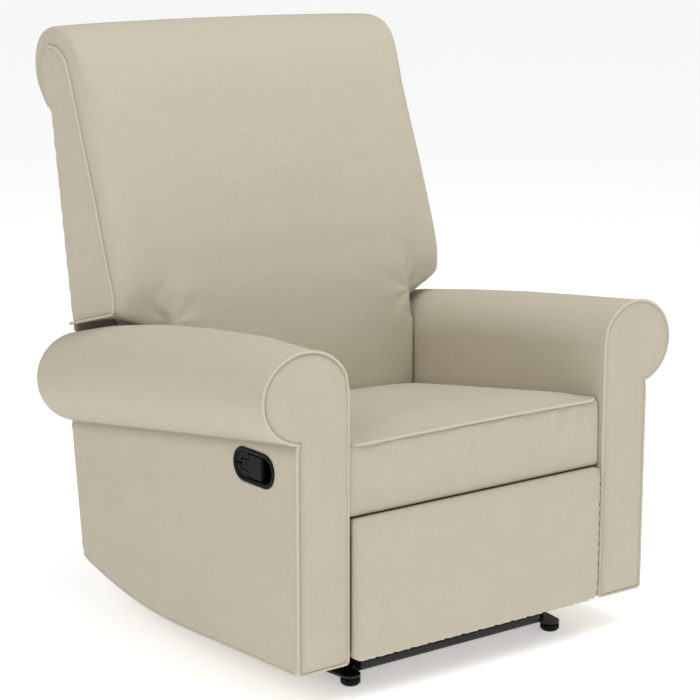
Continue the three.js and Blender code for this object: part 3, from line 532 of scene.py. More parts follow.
def scroll(side, y):
    """Centre height and the two half-heights of a scroll, y behind the arm's front."""
    top = ROLL_Z - y * SLOPE + ROLL_R + float(np.interp(y / ARM_DEPTH, SHARES, PUFF[side]))
    low = ROLL_Z - y * SLOPE - ROLL_R + LIFT
    return (top + low) / 2, (top - low) / 2


# ---- Arms ----------------------------------------------------------------------------------------


def arm_lower_edge():
    """The arm's lower edge from front to heel, [behind the front, height], as in the CAD outline."""
    heel_y = ARM_DEPTH - (ROLL_Z - ARM_DEPTH * SLOPE - GAP_HEEL - HEEL_RISE) * SLOPE
    belly = np.array([0.45 * ARM_DEPTH, GAP_BELLY])
    heel = np.array([heel_y - 0.024, GAP_HEEL])
    control = np.array([0.68 * ARM_DEPTH, GAP_BELLY - 0.009])
    t = np.linspace(0, 1, 24)[:, None]
    curve = (1 - t) ** 2 * belly + 2 * t * (1 - t) * control + t * t * heel
    corner = np.array([heel_y - 0.006, GAP_HEEL + 0.006])
    end = np.array([heel_y, GAP_HEEL + HEEL_RISE])
    turn = (1 - t) ** 2 * heel + 2 * t * (1 - t) * corner + t * t * end
    start = np.linspace([0, GAP_FRONT], belly, 20)
    return resample(np.vstack([start, curve[1:], turn[1:]]), 0.004)


LOWER_EDGE = arm_lower_edge()
CORNER = 0.006  # rounding along the arm's lower edges
FILLET = 0.0035  # hollow between scroll and side


def arm_profile(side, y, low_z):
    """Closed section of the arm, [x, z], and per point how far it may be drawn in at the rear."""
    points, give = [], []
    centre_z, tall = scroll(side, y)
    wide = SPREAD[side]
    centre_x = INNER + wide

    def run(xs, zs, amount):
        for x, z in zip(xs, zs):
            points.append((x, z))
            give.append(amount)

    z0 = low_z + CORNER
    turn = np.linspace(0, math.pi / 2, 5)
    run(INNER + CORNER - CORNER * np.sin(turn), z0 - CORNER * np.cos(turn), 0.004)
    rise = np.linspace(z0, centre_z, 22)[1:]
    run(np.full(len(rise), INNER), rise, 0.008)
    dx = (OUTER + FILLET - centre_x) / (wide + FILLET)
    neck = -math.acos(dx)
    angles = np.linspace(math.pi, neck, 46)[1:]
    run(centre_x + wide * np.cos(angles), centre_z + tall * np.sin(angles), 0.011)
    end_x, end_z = points[-1]
    fold = np.linspace(0, 1, 6)[1:, None]
    corner = np.array([OUTER - 0.0060, end_z + 0.0015])
    below = np.array([OUTER, end_z - 2.5 * FILLET])
    hollow = (1 - fold) ** 2 * np.array([end_x, end_z]) + 2 * fold * (1 - fold) * corner + fold ** 2 * below
    run(hollow[:, 0], hollow[:, 1], 0.006)
    drop = np.linspace(below[1], z0, 22)[1:]
    run(np.full(len(drop), OUTER), drop, 0.008)
    run(OUTER - CORNER + CORNER * np.cos(turn[1:]), z0 - CORNER * np.sin(turn[1:]), 0.004)
    low = np.linspace(OUTER - CORNER, INNER + CORNER, 8)[1:-1]
    run(low, np.full(len(low), low_z), 0.004)
    return np.array(points), np.array(give)


FOLD_POINT = 4 + 22 + 45 + 3  # the profile's point inside the fold


def outward(points):
    """Unit normals of a closed section that runs clockwise seen from the front."""
    ahead = np.roll(points, -1, axis=0) - np.roll(points, 1, axis=0)
    normal = np.stack([-ahead[:, 1], ahead[:, 0]], axis=1)
    return normal / np.linalg.norm(normal, axis=1)[:, None]


REAR_ROUND = 0.024  # depth of the rounding round the arm's rear end


def arm_sections(side):
    """Rings of the arm's cover from front to back, [ring, point, xyz], for an arm at +X."""
    run = ARM_DEPTH
    turn = np.sin(np.linspace(0, math.pi / 2, 9)[1:])
    steps = np.concatenate([[0.0, 0.0012, 0.0035, 0.007], np.linspace(0.014, run - REAR_ROUND, 46),
                            run - REAR_ROUND * (1 - turn)])
    rings = []
    for y in steps:
        share = y / run
        edge = LOWER_EDGE[min(int(round(share * (len(LOWER_EDGE) - 1))), len(LOWER_EDGE) - 1)]
        section, give = arm_profile(side, y, edge[1])
        normals = outward(section)
        front_in = 0.0032 * (1 - min(y / 0.007, 1)) ** 2
        left = min(1.0, (run - y) / REAR_ROUND)
        rear_in = give * (1 - math.sqrt(max(0.0, 1 - (1 - left) ** 2)))
        section = section - normals * (front_in + rear_in)[:, None]
        # padding stands a little proud between the seams
        z = section[:, 1]
        top = scroll(side, y)[0]
        flank = (np.abs(section[:, 0] - OUTER) < 0.004) & (z < top - ROLL_R * 0.9)
        bulge = 0.0035 * np.sin(np.clip((z - edge[1]) / (top - ROLL_R - edge[1]), 0, 1) * math.pi)
        bulge *= np.sin(min(1.0, share * 8) * math.pi / 2) * np.sin(min(1.0, (1 - share) * 8) * math.pi / 2)
        section[:, 0] += np.where(flank, np.clip(bulge, 0, None), 0)
        lean = (edge[0] - y) / (top - edge[1])
        leaning = FRONT + y + lean * (top - section[:, 1])
        rings.append(np.stack([section[:, 0], leaning, section[:, 1]], axis=1))
    return np.array(rings)


def arm_cover(side, sign):
    rings = arm_sections(side) * np.array([sign, 1, 1])
    count, n, _ = rings.shape
    verts = list(map(tuple, rings.reshape(-1, 3)))
    faces = ring_faces(count, n)
    for ring in (0, count - 1):
        section = rings[ring]
        flat, tris, _ = filled(section[:, [0, 2]], 0.02)
        order = np.argsort(section[:, 2])
        ys = np.interp(flat[:, 1], section[order, 2], section[order, 1])
        base = len(verts)
        verts += [(x, y, z) for (x, z), y in zip(flat, ys)]
        faces += [tuple(base + i for i in t) for t in tris]
    cover = mesh_piece(f"arm_cover_{side}", verts, faces, linen)
    mark_seams(cover, [np.vstack([rings[0], rings[0][:1]]), rings[:, FOLD_POINT]], 0.008)
    return cover


def arm_pieces(side, sign):
    cover = arm_cover(side, sign)
    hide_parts(f"arm_upholstery_{side}")
    outline, _ = arm_profile(side, 0.0, GAP_FRONT)
    inner_ring = outline - outward(outline) * 0.0030
    panel = padded_plate(f"arm_front_panel_{side}", inner_ring, 0.008, 0.0035, 0.0035, 0.016, linen, 0.010)
    placed(panel, Matrix.Diagonal((sign, 1, 1, 1)))
    placed(panel, Matrix.Translation((0, FRONT + 0.0055, 0)))
    ring3 = np.stack([sign * inner_ring[:, 0], np.full(len(inner_ring), FRONT), inner_ring[:, 1]], axis=1)
    mark_seams(panel, [np.vstack([ring3, ring3[:1]])], 0.008)
    # the welt stands out all round, but lies flush with the inner face, where the seat slides past
    sunk = np.where(outline[:, 0] < INNER + 0.004, WELT + 0.0004, 0.0008)
    welt_ring = outline - outward(outline) * sunk[:, None]
    welt_y = np.full(len(welt_ring), FRONT + 0.0004)
    path = np.stack([sign * welt_ring[:, 0], welt_y, welt_ring[:, 1]], axis=1)
    welt = cord_mesh(f"arm_front_welt_{side}", path, WELT, piping, closed=True, step=0.005)
    low = LOWER_EDGE[3:-5]
    x = sign * (OUTER - 0.0015)
    bottom = np.stack([np.full(len(low), x), FRONT + low[:, 0], low[:, 1] + 0.0015], axis=1)
    bottom_welt = cord_mesh(f"arm_bottom_welt_{side}", bottom, WELT, piping)
    if sign < 0:
        face_outwards(panel)
    for piece in (cover, panel, welt, bottom_welt):
        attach(piece, "shell")
    return cover


covers = {side: arm_pieces(side, sign) for side, sign in (("left", 1), ("right", -1))}

# ---- Seat cushion --------------------------------------------------------------------------------

SEAT_LOW, SEAT_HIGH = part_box("seat_cushion")
SEAT_HALF = SEAT_HIGH.x - 0.001
SEAT_FRONT = SEAT_LOW.y + 0.002
SEAT_REAR = SEAT_HIGH.y - 0.001
CUSHION_BOTTOM = 0.3075  # at the front of the arms
SEAT_TOP = SEAT_HIGH.z  # welt height at the front


def seat_bottom_z(y):
    return CUSHION_BOTTOM - (y - FRONT) * SLOPE + 0.0015


def seat_top_z(y):
    return SEAT_TOP - 0.002 - max(0.0, y - FRONT - 0.02) * SLOPE


def seat_cushion():
    ys = np.concatenate([[SEAT_FRONT], np.linspace(SEAT_FRONT + 0.01, SEAT_REAR - 0.01, 42), [SEAT_REAR]])
    xs = np.linspace(-SEAT_HALF, SEAT_HALF, 48)
    levels = 12
    verts, faces, index = [], [], {}

    def vertex(i, j, k):
        key = (i, j, k)
        if key not in index:
            y = ys[j]
            low, high = seat_bottom_z(y), seat_top_z(y)
            s = k / levels
            inward = 0.003 * (2 * s - 1) ** 2
            x = xs[i] * (1 - inward / SEAT_HALF) if i in (0, len(xs) - 1) else xs[i]
            index[key] = len(verts)
            verts.append((x, y, low + (high - low) * s))
        return index[key]

    for i in range(len(xs) - 1):
        for j in range(len(ys) - 1):
            faces.append((vertex(i, j, 0), vertex(i, j + 1, 0), vertex(i + 1, j + 1, 0), vertex(i + 1, j, 0)))
            faces.append((vertex(i, j, levels), vertex(i + 1, j, levels), vertex(i + 1, j + 1, levels),
                          vertex(i, j + 1, levels)))
    for k in range(levels):
        for i in range(len(xs) - 1):
            for j in (0, len(ys) - 1):
                faces.append((vertex(i, j, k), vertex(i + 1, j, k),
                              vertex(i + 1, j, k + 1), vertex(i, j, k + 1)))
        for j in range(len(ys) - 1):
            for i in (0, len(xs) - 1):
                faces.append((vertex(i, j, k), vertex(i, j + 1, k),
                              vertex(i, j + 1, k + 1), vertex(i, j, k + 1)))
    return mesh_piece("seat_cushion_cover", verts, faces, linen)


def seat_seam():
    """The top seam, which runs along both sides and the front of the cushion's top."""
    h, f, r = SEAT_HALF - 0.002, SEAT_FRONT + 0.001, SEAT_REAR - 0.002
    corners = np.array([(-h, r), (-h, f + 0.02), (-h + 0.004, f + 0.006), (-h + 0.018, f), (h - 0.018, f),
                        (h - 0.004, f + 0.006), (h, f + 0.02), (h, r)])
    flat = resample(corners, 0.008)
    sag = 0.0022 * (1 - (flat[:, 0] / h) ** 2)
    return np.array([(x, y, seat_top_z(y) + s - 0.001) for (x, y), s in zip(flat, sag)])


SEAT_CROWN = 0.017  # how high the filling lifts the middle of the top
SEAT_PUCKER = 0.0042  # depth of the puckers under the front seam


def seat_pins(points, seam_line):
    """1 where the cloth is held: the seam, the upright front corners, the underside and the rear."""
    near_seam = seam_distance(points, [seam_line])
    bottom_gap = points[:, 2] - np.array([seat_bottom_z(y) for y in points[:, 1]])
    upright = np.hypot(np.abs(points[:, 0]) - SEAT_HALF, points[:, 1] - SEAT_FRONT)
    return np.maximum.reduce([np.clip(1.25 - near_seam / 0.007, 0, 1),
                              np.clip(1.2 - bottom_gap / 0.010, 0, 1),
                              np.clip((points[:, 1] - SEAT_REAR + 0.02) / 0.01, 0, 1),
                              np.clip(1.25 - upright / 0.007, 0, 1)])


def seat_shaped(points):
    """Crown of the filling, puckers under the front seam, and the sides held clear of the arms."""
    # highest in the middle, gone at the seam
    across = np.clip(1 - (points[:, 0] / SEAT_HALF) ** 2, 0, 1)
    along = np.clip((points[:, 1] - SEAT_FRONT) / 0.10, 0, 1)
    lift = SEAT_CROWN * across ** 0.4 * np.sin(along * math.pi / 2)
    top_z = np.array([seat_top_z(y) for y in points[:, 1]])
    points[:, 2] += lift * np.clip((points[:, 2] - top_z + 0.012) / 0.012, 0, 1)
    front_face = np.clip(1 - (points[:, 1] - SEAT_FRONT - 0.004) / 0.01, 0, 1)
    hang = np.exp(-np.clip(SEAT_TOP - points[:, 2], 0, None) / 0.045)
    broad = np.array([noise.noise(Vector((x * 30, 0.3, z * 3))) for x, z in points[:, [0, 2]]])
    fine = np.array([noise.noise(Vector((x * 70, 5.1, z * 4))) for x, z in points[:, [0, 2]]])
    ripple = broad + 0.7 * fine
    points[:, 1] += SEAT_PUCKER * ripple * front_face * hang
    side = INNER - 0.0010
    points[:, 0] = np.clip(points[:, 0] * (INNER + 0.0005) / SEAT_HALF, -side, side)
    points[:, 2] = np.maximum(points[:, 2], np.array([seat_bottom_z(y) for y in points[:, 1]]))
    return points


seat = seat_cushion()
seat_line = seat_seam()
remeshed(seat, 0.0048)
inflated(seat, seat_pins(vertex_array(seat), seat_line), 4.0, 0.024)
set_vertices(seat, seat_shaped(vertex_array(seat)))
relaxed(seat, 2)
subdivided(seat)
mark_seams(seat, [seat_line], 0.014)
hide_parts("seat_cushion")
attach(seat, "seat")
raised = seat_line + np.array([0, 0, 0.0010])
raised[:, 0] = np.clip(raised[:, 0], -INNER + WELT + 0.001, INNER - WELT - 0.001)
raised[:, 1] -= 0.0016
seat_welt = cord_mesh("seat_welt", raised, WELT, piping)
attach(seat_welt, "seat")

# ---- Footrest panel ------------------------------------------------------------------------------

PAD_LOW, PAD_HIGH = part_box("footrest_pad")


def rounded_outline(half, low, high, corner_low, corner_high):
    """A rectangle with rounded corners, [x, z]."""
    points = []
    for cx, cz, r, start in ((half, low, corner_low, -math.pi / 2), (half, high, corner_high, 0),
                             (-half, high, corner_high, math.pi / 2), (-half, low, corner_low, math.pi)):
        sx, sz = (-1 if cx > 0 else 1), (1 if cz == low else -1)
        for a in np.linspace(start, start + math.pi / 2, 7):
            points.append((cx + sx * r + r * math.cos(a), cz + sz * r + r * math.sin(a)))
    return np.array(points)


foot_outline = rounded_outline(PAD_HIGH.x + 0.001, PAD_LOW.z - 0.007, PAD_HIGH.z + 0.003, 0.016, 0.006)
footrest = padded_plate("footrest_cover", foot_outline, PAD_HIGH.y - PAD_LOW.y, 0.010, 0.004, 0.05, linen)
placed(footrest, Matrix.Translation((0, PAD_HIGH.y, 0)))
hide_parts("footrest_pad")
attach(footrest, "footrest")

# ---- Back ----------------------------------------------------------------------------------------

BACK_HALF = 0.359  # seam of the side panels
LOW_HALF = 0.2690  # between the arms
EDGE_ROUND, ROLL_ROUND = 0.024, 0.011  # how fast the front and the head roll round over to the seam
# Side seam, then the middle of the padded front, as [behind, above] the pivot, from the ear's lower front
# corner up the front, over the head roll and down to where it is tucked in behind.
SEAM_PROFILE = [(-0.097, 0.230), (-0.094, 0.256), (-0.076, 0.300), (-0.033, 0.428), (-0.004, 0.502),
                (0.024, 0.577), (0.048, 0.642), (0.058, 0.658), (0.075, 0.670), (0.098, 0.677),
                (0.122, 0.676), (0.141, 0.664), (0.153, 0.645), (0.156, 0.622), (0.150, 0.601),
                (0.139, 0.585), (0.128, 0.570)]
CROWN_PROFILE = [(-0.112, 0.224), (-0.122, 0.262), (-0.112, 0.312), (-0.068, 0.438), (-0.038, 0.515),
                 (-0.008, 0.596), (0.016, 0.657), (0.032, 0.690), (0.060, 0.710), (0.098, 0.717),
                 (0.138, 0.714), (0.170, 0.696), (0.184, 0.664), (0.183, 0.630), (0.170, 0.600),
                 (0.152, 0.580), (0.134, 0.562)]
BACK_LEAN = math.radians(8.6)
REAR_OFFSET, REAR_LEAN = 0.040, math.tan(BACK_LEAN)
REAR_SKIN = 0.006  # the outside back panel lies over the back's rear face
SAG = 0.046  # how far the front of each ear hangs over the inner side of the arm


def rear_u(v):
    return REAR_OFFSET + v * REAR_LEAN


def crown_share(x, half, edge):
    """0 at the seam, 1 in the middle, rounding over within edge."""
    d = np.clip((half - abs(x)) / edge, 0, 1)
    return (1 - (1 - d) ** 2.8) ** (1 / 2.8) * 0.88 + 0.12 * math.sqrt(max(0.0, 1 - (x / half) ** 2))


def loft_across(name, low_profile, high_profile, half, edge, closing):
    """A closed body: YZ profiles at many x, from the seam profile at the sides to the crowned one inside."""
    reach = edge.max()
    near = half - reach * (1 - np.cos(np.linspace(0, math.pi / 2, 10)))
    inner = np.linspace(half - reach, -(half - reach), 56)[1:-1]
    xs = np.concatenate([near, inner, -near[::-1]])
    low_profile, high_profile = np.asarray(low_profile), np.asarray(high_profile)
    rings = []
    for x in xs:
        front = low_profile + (high_profile - low_profile) * crown_share(x, half, edge)[:, None]
        ring = np.vstack([front, closing])
        rings.append([(x, pivot.y + u, pivot.z + v) for u, v in ring])
    n = len(rings[0])
    verts = [p for ring in rings for p in ring]
    faces = ring_faces(len(rings), n)
    faces += [tuple(range(n)), tuple((len(rings) - 1) * n + k for k in range(n))]
    return mesh_piece(name, verts, faces, linen)


def joined(first, *others):
    """The others' meshes added to the first object."""
    bm = bmesh.new()
    for o in (first, *others):
        bm.from_mesh(o.data)
    bm.to_mesh(first.data)
    bm.free()
    for o in others:
        bpy.data.objects.remove(o)
    return first


def upsampled(profile, count):
    """Smooth version of a profile with count even steps."""
    line = resample(smooth_path(profile, 3), 0.002)
    return line[np.linspace(0, len(line) - 1, count).round().astype(int)]


PROFILE_STEPS = 80
seam_line = upsampled(SEAM_PROFILE, PROFILE_STEPS)
crown_line = upsampled(CROWN_PROFILE, PROFILE_STEPS)
rear_v = np.linspace(0.560, 0.184, 20)
upper_rear = np.stack([rear_u(rear_v) - REAR_SKIN, rear_v], axis=1)
under = np.linspace([rear_u(0.180) - 0.016, 0.181], [-0.088, 0.222], 12)
rolled = np.clip((crown_line[:, 1] - 0.60) / 0.06 + (crown_line[:, 0] > 0.10), 0, 1)
edges = EDGE_ROUND + (ROLL_ROUND - EDGE_ROUND) * rolled
upper = loft_across("back_cover", seam_line, crown_line, BACK_HALF, edges, np.vstack([upper_rear, under]))


def ears_sagged(co):
    """The ears' undersides hang lower towards the middle, over the fall of the arms' scrolls."""
    inward = np.clip((0.356 - np.abs(co[:, 0])) / 0.078, 0, 1)
    ahead = np.clip((pivot.y - 0.012 - co[:, 1]) / 0.07, 0, 1)
    above_under = co[:, 2] - (pivot.z + 0.222 - (co[:, 1] - pivot.y + 0.088) * 0.30)
    co[:, 2] -= SAG * inward ** 1.15 * ahead * np.clip(1 - above_under / 0.09, 0, 1)
    return co


set_vertices(upper, ears_sagged(vertex_array(upper)))
low_front = [(-0.150, -0.018), (-0.150, 0.030), (-0.150, 0.120), (-0.148, 0.165), (-0.142, 0.205),
             (-0.130, 0.250), (-0.104, 0.320), (-0.066, 0.430)]
low_front = upsampled(low_front, 40)
low_seam = low_front + np.array([0.007, 0.0])
low_rear_v = np.linspace(0.43, -0.022, 24)
low_closing = np.stack([rear_u(low_rear_v) - REAR_SKIN, low_rear_v], axis=1)
lower = loft_across("back_lower", low_seam, low_front, LOW_HALF, np.full(len(low_front), 0.007), low_closing)
back = joined(upper, lower)
remeshed(back, 0.0055)


def side_path(u_v, x):
    return np.array([(x, pivot.y + u, pivot.z + v) for u, v in u_v])


SEAM_END = int(PROFILE_STEPS * 0.80)  # the front welt runs over the head roll and ends behind it
bottom_line = np.vstack([np.linspace((rear_u(0.180) - 0.004, 0.1805), (-0.080, 0.2185), 10),
                         [(-0.089, 0.2215), (-0.095, 0.2270)]])
side_seams = []
for sign in (1, -1):
    side_seams.append(side_path(seam_line, sign * BACK_HALF))
    side_seams.append(side_path(bottom_line, sign * BACK_HALF))
WRINKLE = 0.0022  # depth of the wrinkles that run out of each fold
UNEVEN = 0.0018  # how far the front is from even
FOLD_X, FOLD_V = 0.262, 0.205  # where the wrinkles meet, beside and above the pivot


def back_pins(points, near):
    """1 where the cloth is held: the side seams, the rear face and the lower back's edges."""
    rear_gap = np.abs(points[:, 1] - pivot.y - rear_u(points[:, 2] - pivot.z) + REAR_SKIN)
    out = np.abs(points[:, 0])
    low_edge = (out < LOW_HALF + 0.004) & (out > LOW_HALF - 0.02) & (points[:, 2] < pivot.z + 0.235)
    return np.maximum.reduce([np.clip(1.3 - near / 0.008, 0, 1), np.clip(1.2 - rear_gap / 0.008, 0, 1),
                              np.where(low_edge, 1.0, 0.0)])


def back_softened(obj, near):
    """Evens the cover out, most of all in the fold between each ear and the lower back."""
    points = vertex_array(obj)
    corner = (np.abs(points[:, 0]) > LOW_HALF - 0.012) & (points[:, 2] < pivot.z + 0.16)
    firm = np.maximum(np.clip(1.2 - near / 0.006, 0, 1) * 0.6, np.where(corner, 0.7, 0.0))
    fold = (np.abs(np.abs(points[:, 0]) - 0.28) < 0.045) & (np.abs(points[:, 2] - pivot.z - 0.20) < 0.05)
    relaxed(obj, 3, keep=firm)
    relaxed(obj, 14, keep=np.where(fold & (points[:, 1] < pivot.y), 0.0, 1.0))


def back_shaped(points, near):
    """Wrinkles, an uneven front, and the lower back held clear of the arms."""
    for sign in (1, -1):
        reach = np.hypot(points[:, 0] - sign * FOLD_X, points[:, 2] - pivot.z - FOLD_V)
        angle = np.arctan2(points[:, 2] - pivot.z - FOLD_V, -sign * (points[:, 0] - sign * FOLD_X))
        wave = np.cos(6 * angle) * np.exp(-reach / 0.05) * np.clip(reach / 0.02, 0, 1)
        points[:, 1] -= np.where(points[:, 1] < pivot.y - 0.02, WRINKLE * wave, 0)
    uneven = np.array([noise.noise(Vector((x * 7, z * 6, 2.7))) for x, z in points[:, [0, 2]]])
    front_side = np.clip((pivot.y + 0.03 + (points[:, 2] - pivot.z) * 0.35 - points[:, 1]) / 0.05, 0, 1)
    points[:, 1] += UNEVEN * uneven * front_side * np.clip(near / 0.05, 0, 1)
    between = (points[:, 2] < pivot.z + 0.170) & (np.abs(points[:, 0]) < 0.30)
    side = INNER - 0.0022
    points[:, 0] = np.where(between, np.clip(points[:, 0], -side, side), points[:, 0])
    return points


near_sides = seam_distance(vertex_array(back), side_seams)
inflated(back, back_pins(vertex_array(back), near_sides), 2.2, 0.010, frames=12)
back_softened(back, near_sides)
set_vertices(back, back_shaped(vertex_array(back), near_sides))
subdivided(back)
mark_seams(back, side_seams, 0.012)
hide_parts("back_cushion")
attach(back, "back")

for side, sign in (("left", 1), ("right", -1)):
    path = np.vstack([bottom_line, seam_line[2:SEAM_END]])
    welt_path = side_path(path, sign * (BACK_HALF + 0.0012))
    welt = cord_mesh(f"back_side_welt_{side}", welt_path, WELT, piping)
    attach(welt, "back")

# Outside back: a flat panel tacked over the rear face.
half, low_half = BACK_HALF - 0.006, LOW_HALF - 0.008
top, shoulder, bottom = 0.556, 0.164, -0.027
outside_outline = [(low_half, bottom), (low_half, shoulder), (half, shoulder), (half, top), (-half, top),
                   (-half, shoulder), (-low_half, shoulder), (-low_half, bottom)]
outside = padded_plate("outside_back_cover", outside_outline, 0.008, 0.006, 0.002, 0.06, linen, 0.016)
turn = Matrix.Rotation(-BACK_LEAN, 4, "X") @ Matrix.Diagonal((1, 1, 1 / math.cos(BACK_LEAN), 1))
turn = Matrix.Translation((0, pivot.y + REAR_OFFSET - REAR_SKIN - 0.001, pivot.z)) @ turn
placed(outside, turn @ Matrix.Rotation(math.pi, 4, "Z"))
path = [turn @ Vector((-x, 0.0055, z)) for x, z in resample(outside_outline, 0.006, closed=True)]
path = np.array([tuple(p) for p in path])
mark_seams(outside, [np.vstack([path, path[:1]])])
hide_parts("outside_back_panel")
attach(outside, "back")

# ---- Rear panel between the arms -----------------------------------------------------------------

REAR_LOW, REAR_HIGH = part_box("rear_panel")
rear_height = (REAR_HIGH.z - REAR_LOW.z) / math.cos(FALL)
rear_outline = rounded_outline(REAR_HIGH.x - 0.001, -rear_height + 0.004, 0, 0.004, 0.004)
rear = padded_plate("rear_panel_cover", rear_outline, 0.012, 0.004, 0.0015, 0.05, linen, 0.016)
placed(rear, Matrix.Rotation(math.pi, 4, "Z"))
placed(rear, Matrix.Rotation(-FALL, 4, "X"))
placed(rear, Matrix.Translation((0, REAR_HIGH.y - 0.013, REAR_HIGH.z)))
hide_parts("rear_panel")
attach(rear, "shell")

# ---- Release handle ------------------------------------------------------------------------------

CUP_LOW, CUP_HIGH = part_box("release_cup")
CUP_Y, CUP_Z = (CUP_LOW.y + CUP_HIGH.y) / 2, (CUP_LOW.z + CUP_HIGH.z) / 2
CUP_HALF_L, CUP_HALF_H = (CUP_HIGH.y - CUP_LOW.y) / 2, (CUP_HIGH.z - CUP_LOW.z) / 2
CUP_DEPTH = 0.024


def race_track(half_length, half_height, steps=14):
    """Closed stadium outline, [along, up]."""
    points = []
    for sign in (1, -1):
        for a in np.linspace(-math.pi / 2, math.pi / 2, steps):
            points.append((sign * (half_length - half_height + half_height * math.cos(a)),
                           sign * half_height * math.sin(a)))
    return np.array(points)


def side_shell(name, rings, material):
    """Rings of [out, along, up] from the right arm's outer face, the last one closed; out is towards -X."""
    n = len(rings[0])
    verts = [(-OUTER - out, CUP_Y + u, CUP_Z + v) for ring in rings for out, u, v in ring]
    faces = ring_faces(len(rings), n)
    faces.append(tuple((len(rings) - 1) * n + k for k in range(n)))
    return mesh_piece(name, verts, faces, material)


def cut_cup_hole(cover):
    """Opens the cover's outer face where the cup sits."""
    rings = [[(out, u, v) for u, v in race_track(CUP_HALF_L - 0.004, CUP_HALF_H - 0.004)]
             for out in (0.02, -CUP_DEPTH - 0.006)]
    cutter = side_shell("cutter", rings, linen)
    bm = bmesh.new()
    bm.from_mesh(cutter.data)
    bm.verts.ensure_lookup_table()
    bmesh.ops.contextual_create(bm, geom=[v for v in bm.verts if v.co.x < -OUTER - 0.01])
    bmesh.ops.recalc_face_normals(bm, faces=bm.faces)
    bm.to_mesh(cutter.data)
    bm.free()
    modifier = cover.modifiers.new("cut", "BOOLEAN")
    modifier.operation = "DIFFERENCE"
    modifier.solver = "EXACT"
    modifier.object = cutter
    bake(cover)
    bpy.data.objects.remove(cutter)


cut_cup_hole(covers["right"])


def cup():
    """Rolled rim, then the bowl's wall down to its floor, all one moulding with the outer flange."""
    spec = [(0.0, -0.0005), (0.0002, 0.0016), (0.0012, 0.0030), (0.0028, 0.0036), (0.0046, 0.0034),
            (0.0064, 0.0026), (0.0080, 0.0008), (0.0088, -0.0020), (0.0092, -0.0100), (0.0100, -0.0190),
            (0.0120, -0.0215)]
    rings = []
    for inset, out in spec:
        rings.append([(out, u, v) for u, v in race_track(CUP_HALF_L - inset, CUP_HALF_H - inset)])
    return side_shell("release_cup_shell", rings, handle_plastic)


def slab_on_side(name, outline, out_low, out_high, bevel, material):
    """A bevelled plate parallel to the arm's side; the outline is [along, up] from the cup's centre."""
    ring = np.asarray(outline, float)
    centre = ring.mean(0)
    n = len(ring)
    normals = outward(ring)
    if ((ring - centre) * normals).sum() < 0:
        normals = -normals
    rings = []
    for out, inset in ((out_low, 0), (out_high - bevel, 0), (out_high - bevel * 0.3, bevel * 0.3),
                       (out_high, bevel)):
        shaped = ring - normals * inset
        rings.append([(out, u, v) for u, v in shaped])
    verts = [(-OUTER - out, CUP_Y + u, CUP_Z + v) for r in rings for out, u, v in r]
    faces = ring_faces(len(rings), n)
    for cap, out in ((ring - normals * bevel, out_high), (ring, out_low)):
        flat, tris, _ = filled(cap, 0.006)
        base = len(verts)
        verts += [(-OUTER - out, CUP_Y + u, CUP_Z + v) for u, v in flat]
        faces += [tuple(base + i for i in t) for t in tris]
    return mesh_piece(name, verts, faces, material, smooth=False)


BLADE_REAR, BLADE_FRONT, BLADE_TALL = 0.0155, -0.0230, 0.0190
TAIL_END, TAIL_TALL = 0.0350, 0.0085
TAIL_ROOM = 0.0035  # the tail swings back into this as the paddle opens
SLIT = 0.0012


def rear_guard(up):
    """Flush plate in the cup's rear quarter, above (up = 1) or below (up = -1) the paddle's tail."""
    r = CUP_HALF_H - 0.0085
    end = CUP_HALF_L - 0.0085 - r
    arc = [(end + r * math.cos(a), up * r * math.sin(a)) for a in np.linspace(0.06, math.pi / 2, 12)]
    near = BLADE_REAR + SLIT
    tail = TAIL_TALL + SLIT
    end_of_slot = TAIL_END + TAIL_ROOM
    return arc + [(near, up * r), (near, up * tail), (end_of_slot - 0.003, up * tail),
                  (end_of_slot - 0.0005, up * (tail - 0.003)), (end_of_slot, up * 0.0015)]


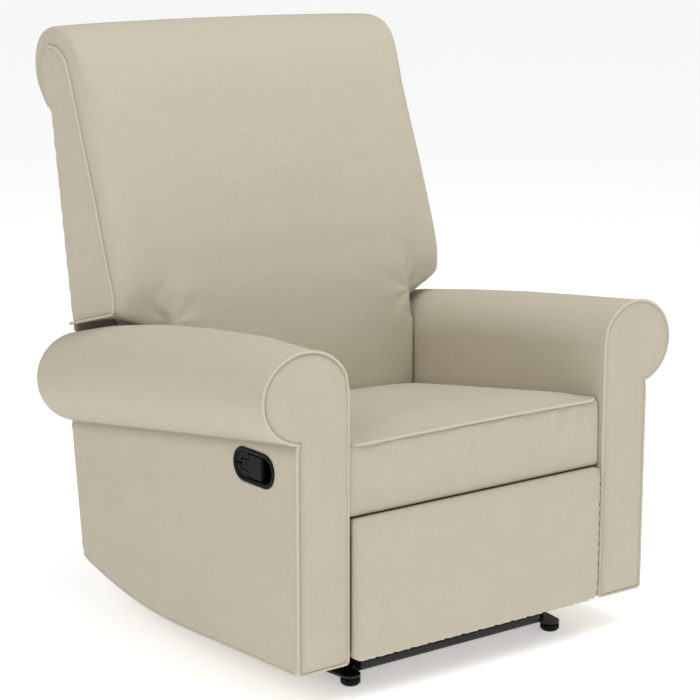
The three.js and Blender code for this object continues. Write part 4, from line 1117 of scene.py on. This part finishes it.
cup_shell = cup()
guards = [slab_on_side(f"release_guard_{name}", rear_guard(up), -0.02, 0.0008, 0.0008, handle_plastic)
          for name, up in (("upper", 1), ("lower", -1))]
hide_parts("release_cup")
for piece in (cup_shell, *guards):
    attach(piece, "shell")

paddle_outline = [(BLADE_FRONT, -BLADE_TALL + 0.003), (BLADE_FRONT + 0.003, -BLADE_TALL),
                  (BLADE_REAR - 0.002, -BLADE_TALL), (BLADE_REAR, -BLADE_TALL + 0.002),
                  (BLADE_REAR, -TAIL_TALL), (TAIL_END - 0.003, -TAIL_TALL), (TAIL_END, -TAIL_TALL + 0.003),
                  (TAIL_END, TAIL_TALL - 0.003), (TAIL_END - 0.003, TAIL_TALL), (BLADE_REAR, TAIL_TALL),
                  (BLADE_REAR, BLADE_TALL - 0.002), (BLADE_REAR - 0.002, BLADE_TALL),
                  (BLADE_FRONT + 0.003, BLADE_TALL), (BLADE_FRONT, BLADE_TALL - 0.003)]
paddle = slab_on_side("release_paddle_blade", paddle_outline, -0.004, 0.0010, 0.0009, handle_plastic)
ridge = slab_on_side("release_paddle_ridge",
                     [(BLADE_FRONT + 0.0015, -0.016), (BLADE_FRONT + 0.0045, -0.0165),
                      (BLADE_FRONT + 0.0045, 0.0165), (BLADE_FRONT + 0.0015, 0.016)],
                     0.0006, 0.0022, 0.0007, handle_plastic)
boss_at = TAIL_END - 0.0085
boss_outline = [(boss_at + 0.0042 * math.cos(a), 0.0042 * math.sin(a))
                for a in np.linspace(0, 2 * math.pi, 21)[:-1]]
boss = slab_on_side("release_paddle_boss", boss_outline, 0.0, 0.0022, 0.0008, handle_plastic)
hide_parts("release_paddle")
for piece in (paddle, ridge, boss):
    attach(piece, "paddle")

# ---- Floor ---------------------------------------------------------------------------------------

bpy.ops.mesh.primitive_plane_add(size=60, location=(0, 0, -0.0002))
floor = bpy.context.object
floor.name = "floor"
floor_mat, floor_tree, floor_shader = new_material("pale_floor")
floor_shader.inputs["Base Color"].default_value = (0.96, 0.96, 0.96, 1)
floor_shader.inputs["Roughness"].default_value = 0.9
floor_shader.inputs["Emission Color"].default_value = (1, 1, 1, 1)
floor_shader.inputs["Emission Strength"].default_value = 0.42
floor.data.materials.append(floor_mat)
